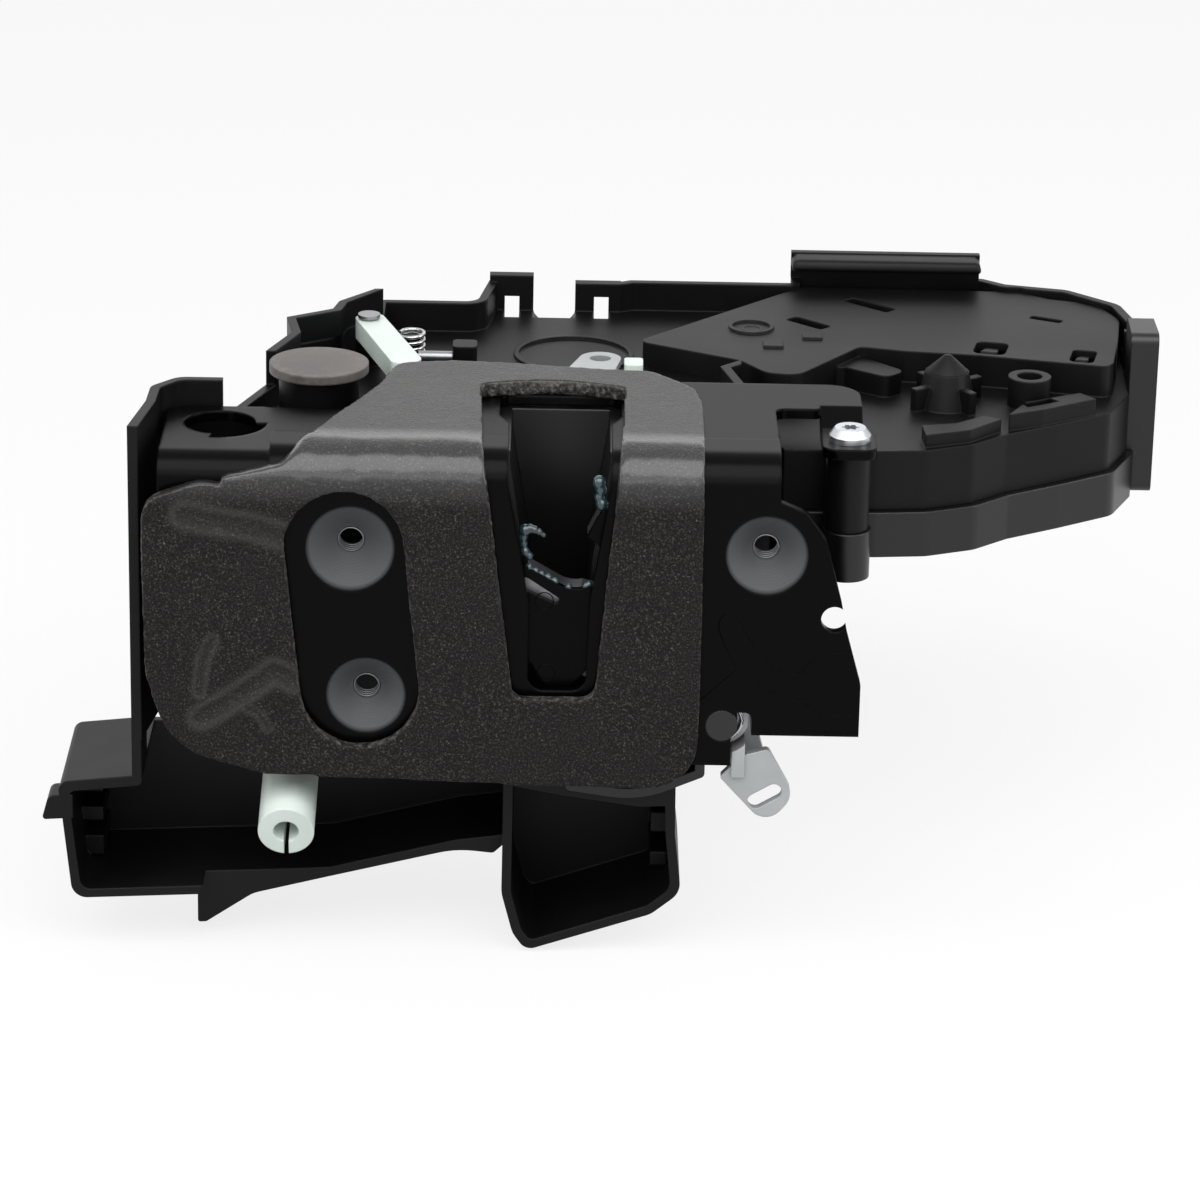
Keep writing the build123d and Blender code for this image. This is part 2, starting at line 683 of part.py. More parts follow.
# ================================================================ actuator outlines
body_outline = [
    (42.0, 34.6, 2), (60.5, 34.6, 1), (70.0, 35.6, 4), (79.2, 39.6, 4), (86.0, 46.0, 4),
    (96.5, 52.8, 4), (107.6, 60.6, 4), (112.4, 72.0, 4), (113.4, 101.2, 8), (110.1, 110.0, 3),
    (105.3, 113.2, 2), (99.7, 115.0, 2), (94.5, 119.6, 2), (49.2, 120.2, 2), (15.0, 81.3, 2),
    (35.2, 69.6, 2), (35.2, 50.0, 2), (42.0, 44.0, 2),
]
plateau_outline = [
    (15.0, 81.3, 2), (49.2, 120.2, 2), (94.5, 119.6, 2), (99.7, 115.0, 2), (105.3, 113.2, 2),
    (110.1, 110.0, 3), (113.2, 101.2, 8), (111.4, 86.9), (109.1, 72.3, 2), (107.6, 69.9, 2),
    (82.3, 76.0, 3), (68.1, 77.8, 3), (59.3, 80.2, 2), (46.2, 61.0, 4), (40.0, 62.2, 4),
    (35.2, 69.8, 3),
]

# ================================================================ carrier
with BuildPart() as carrier:
    carrier_outline = [
        (-62.8, shield_back, 1), (-52.7, 62.4, 3), (-54.2, 72.3, 3), (-45.4, 78.4, 4),
        (-44.4, 83.6, 4), (-37.6, 92.5, 2), (-37.6, 103.0, 2), (-17.3, 103.0, 3), (-15.0, 118.6, 1),
        (12.0, 118.6, 1), (14.0, 119.8, 1), (47.2, 119.8), (47.2, 125.4, 1.5), (87.0, 125.4, 2),
        (91.5, 121.6, 2), (104.0, 118.4, 4), (113.8, 108.6, 5), (116.0, 96.8, 1), (115.6, 90.0, 1),
        (111.0, 90.0), (60.0, 90.0), (33.0, 62.0), (36.0, 49.0), (42.0, 40.0), (31.0, block_back),
        (27.0, block_back), (-block_half, block_back), (-block_half, shield_back),
    ]
    level(carrier_outline, split, rear_rim)
    carrier_shape = outline_face(Plane.XY.offset(deck), carrier_outline)
    with BuildSketch(Plane.XY.offset(deck)) as room:
        add(carrier_shape.moved(Location((0, 0, -deck))))
        offset(amount=-wall, kind=Kind.INTERSECTION)
    extrude(room.sketch, amount=rear_rim, mode=Mode.SUBTRACT)
    extrude(room.sketch.moved(Location((0, 0, -deck_sheet))), amount=-20, mode=Mode.SUBTRACT)
    # raised rims: outer wall by the plate, and the stepped wall behind the actuator
    with BuildSketch(Plane.XY.offset(rear_rim)) as rim:
        with BuildLine():
            Polyline((-62.8, shield_back), (-52.7, 62.4), (-54.2, 72.3), (-45.4, 78.4), (-44.4, 83.6),
                     (-37.6, 92.5), (-36.0, 92.5), (-42.8, 82.8), (-43.8, 77.4), (-52.4, 71.6),
                     (-50.9, 62.4), (-60.9, shield_back), close=True)
        make_face()
        with BuildLine():
            Polyline((47.2, 123.6), (86.2, 123.6), (86.2, 125.4), (47.2, 125.4), close=True)
        make_face()
    extrude(rim.sketch, amount=rim_top - rear_rim)
    # room for the actuator, right through
    level(body_outline, split - 1, plateau + 20, mode=Mode.SUBTRACT)
    level([(36.0, 39.0), (64.0, 39.0), (64.0, 62.0), (36.0, 62.0)], split - 1, rear_rim + 1,
          mode=Mode.SUBTRACT)
    # front wall lowered under the flange, and the rim cut for the flange's corner
    level([(-64.0, 30.0), (70.0, 30.0), (70.0, 50.0), (-64.0, 50.0)], flange_under - 0.3, 30.0,
          mode=Mode.SUBTRACT)
    # cable saddle at the back: two slotted tabs and a round valley between them
    level([(-15.0, 116.6), (-6.0, 116.6), (-6.0, 119.2), (-15.0, 119.2)], 4.0, 18.0)
    level([(2.6, 116.6), (12.0, 116.6), (12.0, 119.2), (2.6, 119.2)], 4.0, rear_rim)
    upright([(-6.0, 30.0), (-6.0, 9.6, 2), (-3.8, 7.3, 2), (0.6, 7.3, 2), (2.6, 9.6, 2), (2.6, 30.0)],
            112, 126, mode=Mode.SUBTRACT)
    upright([(-11.9, 5.2), (-8.9, 5.2), (-8.9, 13.6), (-11.9, 13.6)], 112, 126, mode=Mode.SUBTRACT)
    upright([(6.5, 7.5), (9.5, 7.5), (9.5, 13.7), (6.5, 13.7)], 112, 126, mode=Mode.SUBTRACT)
    # turned rings on the floor, and posts for the levers and the spring
    with BuildSketch(Plane.XY.offset(deck)) as rings:
        with Locations((2.4, 86.5)):
            Circle(12.0)
            Circle(11.0, mode=Mode.SUBTRACT)
    extrude(rings.sketch, amount=0.6)
    level_disc((-38.3, 79.0), 2.6, deck, 15.6)
    level_disc((4.0, 56.0), 4.0, deck, 13.4)
    level_disc((-29.9, 84.0), 1.7, deck, 15.0)
    level_disc((-46.4, 43.6), 7.7, deck, 20.3)
    level([(-21.5, 69.8, 1), (-16.7, 69.8, 1), (-16.7, 74.8, 1), (-21.5, 74.8, 1)], deck, 17.2)
    # studs for the lever pins
    level_disc((-38.3, 79.0), 1.5, deck - 1, 15.7, mode=Mode.SUBTRACT)
    level_disc((4.0, 56.0), 1.5, deck - 1, 13.5, mode=Mode.SUBTRACT)
finish(carrier.part, "carrier")

# ================================================================ actuator cover
with BuildPart() as actuator_cover:
    level(body_outline, split, cover_deck)
    level(plateau_outline, cover_deck, plateau)
    hollow_body = [
        (43.8, 36.4, 1), (60.2, 36.4, 1), (69.4, 37.4, 3), (78.2, 41.2, 3), (85.0, 47.6, 3),
        (95.4, 54.4, 3), (106.2, 61.8, 3), (110.6, 72.4, 3), (111.6, 100.8, 7), (108.6, 108.9, 2),
        (104.5, 111.4, 1), (98.9, 113.3, 1), (93.8, 117.8, 1), (50.0, 118.4, 1), (17.8, 81.6, 1),
        (37.0, 70.6, 1), (37.0, 50.8, 1), (43.8, 44.8, 1),
    ]
    hollow_plateau = [
        (17.8, 81.6, 1), (50.0, 118.4, 1), (93.8, 117.8, 1), (98.9, 113.3, 1), (104.5, 111.4, 1),
        (108.6, 108.9, 2), (111.3, 100.8, 7), (109.6, 87.0), (107.4, 72.9, 1), (106.6, 72.0, 1),
        (82.6, 77.8, 2), (68.4, 79.6, 2), (58.5, 82.4, 1), (45.3, 63.0, 3), (41.0, 63.8, 3),
        (37.0, 70.6, 1),
    ]
    level(hollow_body, split - 1, cover_deck - wall, mode=Mode.SUBTRACT)
    level(hollow_plateau, cover_deck - 3, plateau - wall, mode=Mode.SUBTRACT)
    # front wall leans back from the split to the deck
    level([(42.6, 34.6), (60.0, 34.6), (60.0, 36.4), (42.6, 36.4)], split, cover_deck)
    # arm and boss for the flange screw
    level([(50.4, 24.7), (58.6, 24.7), (58.6, 35.6), (50.4, 35.6)], split, cover_deck)
    level_disc(screw_centre, boss_radius, split, tab_top - sheet)
    level_disc(screw_centre, screw_shank, split - 1, tab_top, mode=Mode.SUBTRACT)
    # posts that take the case screws
    for x, y, top in ((98.0, 108.0, plateau), (60.0, 42.0, cover_deck), (26.0, 84.0, plateau)):
        level_disc((x, y), 3.2, tray_foot + wall, top - wall)
        level_disc((x, y), 1.4, tray_foot, tray_foot + wall + 9, mode=Mode.SUBTRACT)
    # windows through the plateau and over the clips
    for x, y, length, width, turn in (
        (49.7, 95.4, 9.4, 3.4, -43), (62.8, 108.6, 11.4, 3.4, -42), (98.2, 100.7, 6.8, 2.2, -26),
        (85.4, 80.6, 6.5, 8.0, -12), (103.4, 76.3, 4.9, 8.0, -12),
    ):
        with BuildSketch(Plane(origin=(x, y, cover_deck - 4), x_dir=(cos(radians(turn)), sin(radians(turn)), 0),
                               z_dir=(0, 0, 1))) as window:
            RectangleRounded(length, width, min(length, width) / 4)
        extrude(window.sketch, amount=plateau, mode=Mode.SUBTRACT)
    # ring mark, raised pads, cross-ribbed cone and ring boss
    with BuildSketch(Plane.XY.offset(plateau)) as marks:
        with Locations((38.0, 91.3)):
            Circle(4.6)
            Circle(3.8, mode=Mode.SUBTRACT)
        with Locations((42.0, 80.0), (50.0, 86.0)):
            Rectangle(4.0, 4.0)
    extrude(marks.sketch, amount=0.5)
    with BuildSketch(Plane.XY.offset(cover_deck)) as cone:
        with Locations((75.5, 64.0)):
            Circle(6.0)
    extrude(cone.sketch, amount=plateau + 0.5 - cover_deck, taper=14)
    for turn in (0, 90):
        with BuildSketch(Plane(origin=(75.5, 64.0, cover_deck), x_dir=(cos(radians(turn + 35)),
                               sin(radians(turn + 35)), 0), z_dir=(0, 0, 1))) as rib:
            Rectangle(16.5, 1.6)
        extrude(rib.sketch, amount=4.6)
    level_disc((91.8, 64.5), 4.2, cover_deck, 15.0)
    level_disc((91.8, 64.5), 2.5, cover_deck, 16.0, mode=Mode.SUBTRACT)
    # raised duct that ramps down from the plateau to the deck
    level([(47.0, 80.0), (40.6, 73.6), (56.0, 73.0), (64.0, 67.0, 2), (67.8, 71.0, 2), (60.0, 79.6)],
          cover_deck, plateau - 2.0)
    # pocket blocks on the front slope
    level([(69.8, 37.0), (78.6, 40.6), (85.0, 47.4), (82.0, 49.6), (76.0, 44.6), (69.4, 43.0)],
          cover_deck, cover_deck + 2.6)
    level([(86.5, 48.0), (93.4, 51.4), (104.4, 58.8), (101.6, 62.4), (90.6, 56.2)],
          cover_deck, cover_deck + 3.4)
    level([(90.6, 52.8), (97.0, 56.8), (95.4, 58.8), (89.4, 55.0)],
          cover_deck + 1.0, cover_deck + 5, mode=Mode.SUBTRACT)
finish(actuator_cover.part, "actuator_cover")

# ================================================================ actuator tray
with BuildPart() as actuator_tray:
    proud = 1.4
    tray_shape = outline_face(Plane.XY.offset(tray_foot), body_outline)
    with BuildSketch(Plane.XY.offset(tray_foot)) as tray_base:
        add(tray_shape.moved(Location((0, 0, -tray_foot))))
        offset(amount=proud)
    extrude(tray_base.sketch, amount=split - tray_foot)
    level(hollow_body, tray_foot + wall, split + 1, mode=Mode.SUBTRACT)
    # arm and collar under the flange screw
    level([(50.4, 24.7), (58.6, 24.7), (58.6, 35.6), (50.4, 35.6)], tray_foot + 1, split)
    level_disc(screw_centre, collar_radius, tray_foot - 0.5, split)
    level_disc(screw_centre, screw_shank, tray_foot + 3, split + 4, mode=Mode.SUBTRACT)
    for place in ((98.0, 108.0), (60.0, 42.0), (26.0, 84.0)):
        level_disc(place, 1.4, tray_foot - 1, tray_foot + wall + 1, mode=Mode.SUBTRACT)
finish(actuator_tray.part, "actuator_tray")

# ================================================================ drive inside the actuator
motor_at = (80.5, 86.0)
worm_x = 54.1
motor_height = -2.6
wheel_radius = 13.0
worm_radius = 3.4
worm_length = 13.0
wheel_teeth = 28

with BuildPart() as motor:
    with BuildSketch(Plane.YZ.offset(motor_at[0] - 12.5)) as can:
        with Locations((motor_at[1], motor_height)):
            Circle(10.0)
            Rectangle(21.0, 15.2, mode=Mode.INTERSECT)
    extrude(can.sketch, amount=25.0)
    with BuildSketch(Plane.YZ.offset(motor_at[0] + 12.5)) as endcap:
        with Locations((motor_at[1], motor_height)):
            Circle(7.0)
    extrude(endcap.sketch, amount=3.0)
    with BuildSketch(Plane.YZ.offset(motor_at[0] - 14.0)) as nose:
        with Locations((motor_at[1], motor_height)):
            Circle(3.0)
    extrude(nose.sketch, amount=1.5)
finish(motor.part, "motor")

with BuildPart() as motor_worm:
    with BuildSketch(Plane.XY) as thread:
        with BuildLine():
            half = worm_length / 2
            Polyline((-half, 0), (-half, 2.3), (-half + 1, 2.3), (-half + 2, worm_radius),
                     (-half + 2.6, worm_radius), (-half + 3.6, 2.3), (-half + 4.6, worm_radius),
                     (-half + 5.2, worm_radius), (-half + 6.2, 2.3), (-half + 7.2, worm_radius),
                     (-half + 7.8, worm_radius), (-half + 8.8, 2.3), (-half + 9.8, worm_radius),
                     (-half + 10.4, worm_radius), (-half + 11.4, 2.3), (half, 2.3), (half, 0),
                     close=True)
        make_face()
    revolve(thread.sketch, axis=Axis.X)
    with BuildSketch(Plane.YZ) as shaft:
        Circle(1.0)
    extrude(shaft.sketch, amount=motor_at[0] - 14.3 - worm_x)
motor_worm.part.position = (worm_x, motor_at[1], motor_height)
finish(motor_worm.part, "motor_worm")

wheel_centre = (worm_x, motor_at[1] + worm_radius + wheel_radius - 0.1)
with BuildPart() as worm_wheel:
    with BuildSketch(Plane.XY.offset(motor_height - 2.5)) as teeth:
        with Locations(wheel_centre):
            Circle(wheel_radius - 0.4)
            with PolarLocations(wheel_radius, wheel_teeth):
                Rectangle(2.0, 1.3, mode=Mode.SUBTRACT)
    extrude(teeth.sketch, amount=5.0)
    level_disc(wheel_centre, 4.0, motor_height - 4.0, 5.0)
    level_disc(wheel_centre, 2.0 + running, -20, 20, mode=Mode.SUBTRACT)
finish(worm_wheel.part, "worm_wheel")

with BuildPart() as wheel_pin:
    level_disc(wheel_centre, 2.0, tray_foot + wall, cover_deck - wall)
finish(wheel_pin.part, "wheel_pin")

with BuildPart() as contact_plate:
    level([(64.0, 50.0), (88.0, 56.0), (100.0, 66.0), (100.0, 75.0), (64.0, 75.0)],
          tray_foot + wall, tray_foot + wall + 1.2)
finish(contact_plate.part, "contact_plate")

for index, (x, y) in enumerate(((72.0, 66.0), (84.0, 68.0))):
    with BuildPart() as microswitch:
        with BuildSketch(Plane.XY.offset(tray_foot + wall + 1.2)) as body:
            with Locations((x, y)):
                Rectangle(5.6, 12.0)
        extrude(body.sketch, amount=6.0)
        with BuildSketch(Plane.XY.offset(tray_foot + wall + 7.2)) as plunger:
            with Locations((x, y + 2)):
                Rectangle(1.4, 2.4)
        extrude(plunger.sketch, amount=0.8)
    finish(microswitch.part, f"microswitch_{index + 1}")

# connector mouth on the right-hand end, with its pins
with BuildPart() as connector:
    with BuildSketch(Plane.YZ.offset(111.0)) as shroud:
        with Locations((80.0, 4.5)):
            RectangleRounded(13.0, 33.0, 2.0)
    extrude(shroud.sketch, amount=7.0)
    with BuildSketch(Plane.YZ.offset(114.6)) as mouth:
        with Locations((80.0, 12.0)):
            RectangleRounded(10.0, 14.4, 1.0)
        with Locations((80.0, -4.0)):
            RectangleRounded(10.0, 12.4, 1.0)
    extrude(mouth.sketch, amount=5.0, mode=Mode.SUBTRACT)
    level(body_outline, -20.0, 22.0, mode=Mode.SUBTRACT)
    extrude(tray_base.sketch, amount=split - tray_foot, mode=Mode.SUBTRACT)
finish(connector.part, "connector")

with BuildPart() as connector_pins:
    with BuildSketch(Plane.YZ.offset(114.6)) as pins:
        for z in (8.0, 12.0, 16.0):
            with Locations((78.0, z), (82.0, z)):
                Rectangle(0.8, 0.8)
    extrude(pins.sketch, amount=2.8)
finish(connector_pins.part, "connector_pins")

# ================================================================ levers on the carrier
with BuildPart() as outside_lever:
    level([(-41.4, 80.8, 2), (-36.1, 83.4, 2), (-26.8, 52.9, 2), (-32.3, 49.6, 2)], 15.7, 19.8)
    level_disc((-38.3, 79.0), 1.5 + running, 10, 21, mode=Mode.SUBTRACT)
finish(outside_lever.part, "outside_lever")

with BuildPart() as outside_pin:
    level_disc((-38.3, 79.0), 1.5, deck - 1, 20.2)
    level_disc((-38.3, 79.0), 2.2, 20.2, 20.9)
finish(outside_pin.part, "outside_pin")

with BuildPart() as inner_lever:
    with BuildSketch(Plane.XY.offset(13.5)) as arm:
        with Locations((4.0, 56.0)):
            Circle(5.0)
        with Locations((7.6, 71.2)):
            Circle(4.1)
        make_hull()
        with Locations((4.0, 56.0)):
            Circle(1.5 + running, mode=Mode.SUBTRACT)
        with Locations((7.6, 71.2)):
            Circle(2.1, mode=Mode.SUBTRACT)
    extrude(arm.sketch, amount=1.5)
finish(inner_lever.part, "inner_lever")

with BuildPart() as inner_pin:
    level_disc((4.0, 56.0), 1.5, deck - 1, 15.2)
    level_disc((4.0, 56.0), 2.4, 15.2, 16.0)
finish(inner_pin.part, "inner_pin")

with BuildPart() as stop_bumper:
    level([(12.3, 65.0, 0.8), (16.0, 65.0, 0.8), (16.0, 70.0, 0.8), (12.3, 70.0, 0.8)], deck, 15.6)
finish(stop_bumper.part, "stop_bumper")

with BuildPart() as return_spring:
    coil((-29.9, 84.0, deck + 0.6), (0, 0, 1), 2.45, 0.42, 4.4, 4)
finish(return_spring.part, "return_spring")

with BuildPart() as blocker_pin:
    with BuildSketch(Plane.YZ.offset(-28.3)) as rod:
        with Locations((72.3, 14.4)):
            Circle(1.1)
    extrude(rod.sketch, amount=6.8)
finish(blocker_pin.part, "blocker_pin")

# ================================================================ rod clip and its lever
clip_tilt = 16.5
clip_front = (-50.3, -3.0, -55.7)
clip_plane = Plane(origin=clip_front, x_dir=(1, 0, 0),
                   z_dir=(0, cos(radians(clip_tilt)), sin(radians(clip_tilt))))
with BuildPart() as rod_clip:
    with BuildSketch(clip_plane) as tube:
        Circle(5.3)
        Circle(2.4, mode=Mode.SUBTRACT)
        with Locations((0, 4.0)):
            Rectangle(0.9, 4.6, mode=Mode.SUBTRACT)
    extrude(tube.sketch, amount=17.5)
finish(rod_clip.part, "rod_clip")

with BuildPart() as rod_lever:
    with BuildSketch(Plane.YZ.offset(-54.5)) as arm:
        with Locations((22.0, -38.0)):
            Circle(3.6)
        with Locations((16.6, -49.8)):
            Circle(3.0)
        make_hull()
    extrude(arm.sketch, amount=8.0)
    with BuildSketch(clip_plane) as clip_seat:
        Circle(5.3)
    extrude(clip_seat.sketch, amount=17.5, mode=Mode.SUBTRACT)
    with BuildSketch(Plane.YZ.offset(-60)) as pivot_hole:
        with Locations((22.0, -38.0)):
            Circle(1.5 + running)
    extrude(pivot_hole.sketch, amount=20, mode=Mode.SUBTRACT)
finish(rod_lever.part, "rod_lever")

with BuildPart() as rod_pin:
    with BuildSketch(Plane.YZ.offset(-58.9)) as shank:
        with Locations((22.0, -38.0)):
            Circle(1.5)
    extrude(shank.sketch, amount=16.8)
finish(rod_pin.part, "rod_pin")

# ================================================================ screws and the adjuster's disc
with BuildPart() as flange_screw:
    level_disc(screw_centre, screw_shank, -1.0, tab_top)
    level_disc(screw_centre, 4.0, tab_top, tab_top + 1.2)
    with BuildSketch(Plane.XY.offset(tab_top + 1.2)) as head:
        with Locations(screw_centre):
            Circle(4.0)
    extrude(head.sketch, amount=1.4, taper=38)
    with BuildSketch(Plane.XY.offset(tab_top + 0.8)) as drive:
        with Locations(screw_centre):
            Circle(1.2)
            with PolarLocations(1.25, 6):
                Circle(0.42)
    extrude(drive.sketch, amount=4, mode=Mode.SUBTRACT)
finish(flange_screw.part, "flange_screw")

with BuildPart() as height_disc:
    level_disc((-46.4, 43.6), 9.5, 20.3, 22.0)
finish(height_disc.part, "height_disc")

for index, (x, y) in enumerate(((98.0, 108.0), (60.0, 42.0), (26.0, 84.0))):
    with BuildPart() as case_screw:
        level_disc((x, y), 1.4, tray_foot, tray_foot + wall + 8)
        level_disc((x, y), 2.8, tray_foot - 1.2, tray_foot)
    finish(case_screw.part, f"case_screw_{index + 1}")
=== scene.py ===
import math

import bmesh
import bpy
from mathutils import Euler, Matrix, Vector, noise


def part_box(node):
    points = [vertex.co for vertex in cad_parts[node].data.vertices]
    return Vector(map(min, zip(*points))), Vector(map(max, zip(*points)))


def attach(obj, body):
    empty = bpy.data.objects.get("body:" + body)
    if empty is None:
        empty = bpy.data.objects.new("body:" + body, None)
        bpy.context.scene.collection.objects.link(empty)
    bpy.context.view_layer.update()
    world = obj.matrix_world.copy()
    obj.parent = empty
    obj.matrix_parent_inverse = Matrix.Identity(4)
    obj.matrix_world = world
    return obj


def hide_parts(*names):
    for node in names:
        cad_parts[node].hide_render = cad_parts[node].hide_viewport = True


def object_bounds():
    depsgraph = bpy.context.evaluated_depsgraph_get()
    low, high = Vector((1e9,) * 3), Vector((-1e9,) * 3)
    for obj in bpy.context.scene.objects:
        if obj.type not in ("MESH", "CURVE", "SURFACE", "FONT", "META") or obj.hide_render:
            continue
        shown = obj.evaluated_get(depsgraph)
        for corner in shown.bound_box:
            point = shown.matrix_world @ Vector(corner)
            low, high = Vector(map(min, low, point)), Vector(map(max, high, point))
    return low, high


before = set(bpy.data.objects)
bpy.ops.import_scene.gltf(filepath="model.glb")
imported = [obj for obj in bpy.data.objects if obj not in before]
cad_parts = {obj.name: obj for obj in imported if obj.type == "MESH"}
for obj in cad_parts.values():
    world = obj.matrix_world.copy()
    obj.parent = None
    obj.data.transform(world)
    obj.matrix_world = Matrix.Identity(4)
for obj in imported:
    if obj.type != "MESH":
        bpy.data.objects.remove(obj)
cad_low, cad_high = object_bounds()
bpy.ops.object.select_all(action="DESELECT")


# ---------------------------------------------------------------- black mouldings
# The housing, the shield, the actuator's cover and tray and the latch block are injection
# moulded in black glass-filled nylon. The tool's fine spark-eroded grain keeps them dull, and
# handling has polished their edges a little.

def new_group(name, inputs, outputs):
    """Empty shader node group with named inputs and outputs."""
    group = bpy.data.node_groups.new(name, "ShaderNodeTree")
    for label, kind, value in inputs:
        socket = group.interface.new_socket(name=label, in_out="INPUT", socket_type=kind)
        if value is not None:
            socket.default_value = value
    for label, kind in outputs:
        group.interface.new_socket(name=label, in_out="OUTPUT", socket_type=kind)
    return group, group.nodes.new("NodeGroupInput"), group.nodes.new("NodeGroupOutput")


def noise_node(tree, vector, scale, detail, roughness=0.55):
    """Noise texture that reads a vector."""
    node = tree.nodes.new("ShaderNodeTexNoise")
    node.inputs["Detail"].default_value = detail
    node.inputs["Roughness"].default_value = roughness
    if isinstance(scale, (int, float)):
        node.inputs["Scale"].default_value = scale
    else:
        tree.links.new(scale, node.inputs["Scale"])
    tree.links.new(vector, node.inputs["Vector"])
    return node


def ramp_node(tree, factor, stops):
    """Colour ramp with (position, grey or colour) stops."""
    node = tree.nodes.new("ShaderNodeValToRGB")
    while len(node.color_ramp.elements) < len(stops):
        node.color_ramp.elements.new(0.5)
    for element, (position, colour) in zip(node.color_ramp.elements, stops):
        element.position = position
        grey = isinstance(colour, (int, float))
        element.color = (colour, colour, colour, 1) if grey else (*colour, 1)
    tree.links.new(factor, node.inputs["Fac"])
    return node


def surface_grain():
    """Cloudy tone, speckle and height of a finish, from Object coordinates."""
    group, given, result = new_group(
        "surface_grain",
        [("Vector", "NodeSocketVector", None),
         ("Colour", "NodeSocketColor", (0.02, 0.02, 0.02, 1)),
         ("Tint", "NodeSocketColor", (0.04, 0.04, 0.04, 1)),
         ("Grain Scale", "NodeSocketFloat", 1800.0),
         ("Roughness", "NodeSocketFloat", 0.4),
         ("Roughness Spread", "NodeSocketFloat", 0.1)],
        [("Colour", "NodeSocketColor"), ("Roughness", "NodeSocketFloat"),
         ("Height", "NodeSocketFloat")],
    )
    link = group.links.new
    cloud = noise_node(group, given.outputs["Vector"], 55.0, 3.0)
    grain = noise_node(group, given.outputs["Vector"], given.outputs["Grain Scale"], 2.0, 0.6)
    tone = ramp_node(group, cloud.outputs["Fac"], [(0.35, 0.0), (0.72, 1.0)])
    mix = group.nodes.new("ShaderNodeMix")
    mix.data_type = "RGBA"
    link(tone.outputs["Color"], mix.inputs["Factor"])
    link(given.outputs["Colour"], mix.inputs["A"])
    link(given.outputs["Tint"], mix.inputs["B"])
    spread = group.nodes.new("ShaderNodeMath")
    spread.operation = "MULTIPLY_ADD"
    link(cloud.outputs["Fac"], spread.inputs[0])
    link(given.outputs["Roughness Spread"], spread.inputs[1])
    link(given.outputs["Roughness"], spread.inputs[2])
    link(mix.outputs["Result"], result.inputs["Colour"])
    link(spread.outputs["Value"], result.inputs["Roughness"])
    link(grain.outputs["Fac"], result.inputs["Height"])
    return group


GRAIN = surface_grain()


def finish_material(name, colour, tint, roughness, spread, grain_scale, grain_depth, edge=0.25,
                    metallic=0.0, coat=0.0, coat_roughness=0.05, specular=0.5):
    """Principled finish with grained colour and roughness, a fine relief and rounded edges."""
    material = bpy.data.materials.new(name)
    material.use_nodes = True
    tree = material.node_tree
    link = tree.links.new
    shader = tree.nodes["Principled BSDF"]
    place = tree.nodes.new("ShaderNodeTexCoord")
    grain = tree.nodes.new("ShaderNodeGroup")
    grain.node_tree = GRAIN
    grain.inputs["Colour"].default_value = (*colour, 1)
    grain.inputs["Tint"].default_value = (*tint, 1)
    grain.inputs["Grain Scale"].default_value = grain_scale
    grain.inputs["Roughness"].default_value = roughness
    grain.inputs["Roughness Spread"].default_value = spread
    link(place.outputs["Object"], grain.inputs["Vector"])
    link(grain.outputs["Colour"], shader.inputs["Base Color"])
    link(grain.outputs["Roughness"], shader.inputs["Roughness"])
    shader.inputs["Metallic"].default_value = metallic
    shader.inputs["Coat Weight"].default_value = coat
    shader.inputs["Coat Roughness"].default_value = coat_roughness
    shader.inputs["Specular IOR Level"].default_value = specular
    bump = tree.nodes.new("ShaderNodeBump")
    bump.inputs["Strength"].default_value = 1.0
    bump.inputs["Distance"].default_value = grain_depth
    link(grain.outputs["Height"], bump.inputs["Height"])
    if edge:
        rounding = tree.nodes.new("ShaderNodeBevel")
        rounding.samples = 6
        rounding.inputs["Radius"].default_value = edge / 1000
        link(rounding.outputs["Normal"], bump.inputs["Normal"])
    link(bump.outputs["Normal"], shader.inputs["Normal"])
    return material


def dress(nodes, material):
    """Give a finish to CAD pieces whose shape is already right."""
    for node in nodes:
        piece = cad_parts[node]
        for slot in piece.material_slots:
            slot.material = material


BLACK_MOULDING = finish_material(
    "black_moulding", (0.0011, 0.0011, 0.0013), (0.0022, 0.0022, 0.0025), 0.28, 0.14, 2600.0,
    0.000006, 0.5, specular=0.45)
dress(["actuator_tray", "latch_block", "connector"], BLACK_MOULDING)
HOUSING = finish_material(
    "housing_moulding", (0.0012, 0.0012, 0.0014), (0.0024, 0.0024, 0.0027), 0.36, 0.14, 2600.0,
    0.000008, 0.5, specular=0.15)
dress(["carrier"], HOUSING)
ROUGH_MOULDING = finish_material(
    "rough_moulding", (0.0013, 0.0013, 0.0015), (0.0028, 0.0028, 0.0031), 0.40, 0.12, 2200.0,
    0.00002, 0.5, specular=0.18)
dress(["side_shield", "actuator_cover"], ROUGH_MOULDING)
SATIN_NYLON = finish_material(
    "satin_nylon", (0.0006, 0.0006, 0.0007), (0.0012, 0.0012, 0.0014), 0.2, 0.1, 1500.0,
    0.000006, 0.25, specular=0.06)
dress(["catch_cover", "rod_lever", "microswitch_1", "microswitch_2"], SATIN_NYLON)
SOFT_RUBBER = finish_material(
    "soft_rubber", (0.02, 0.02, 0.02), (0.03, 0.03, 0.03), 0.6, 0.1, 900.0, 0.00002, 0.3)
dress(["striker_stop"], SOFT_RUBBER)


# ---------------------------------------------------------------- steel plate
# The face plate is 2 mm steel, folded and pressed, then electro-dip painted gloss black. The
# three seats keep the fine rings of their turned face under the paint, and are coloured a
# lighter grey as painted sheen.

# X and Z of each seat's middle and its radius, in millimetres
SEATS = [((-38.5, 0.0), 8.4), ((-35.5, -29.0), 7.6), ((38.5, 0.0), 7.8)]
SEAT_RINGS = 110.0
SEAT_DULLING = 0.16


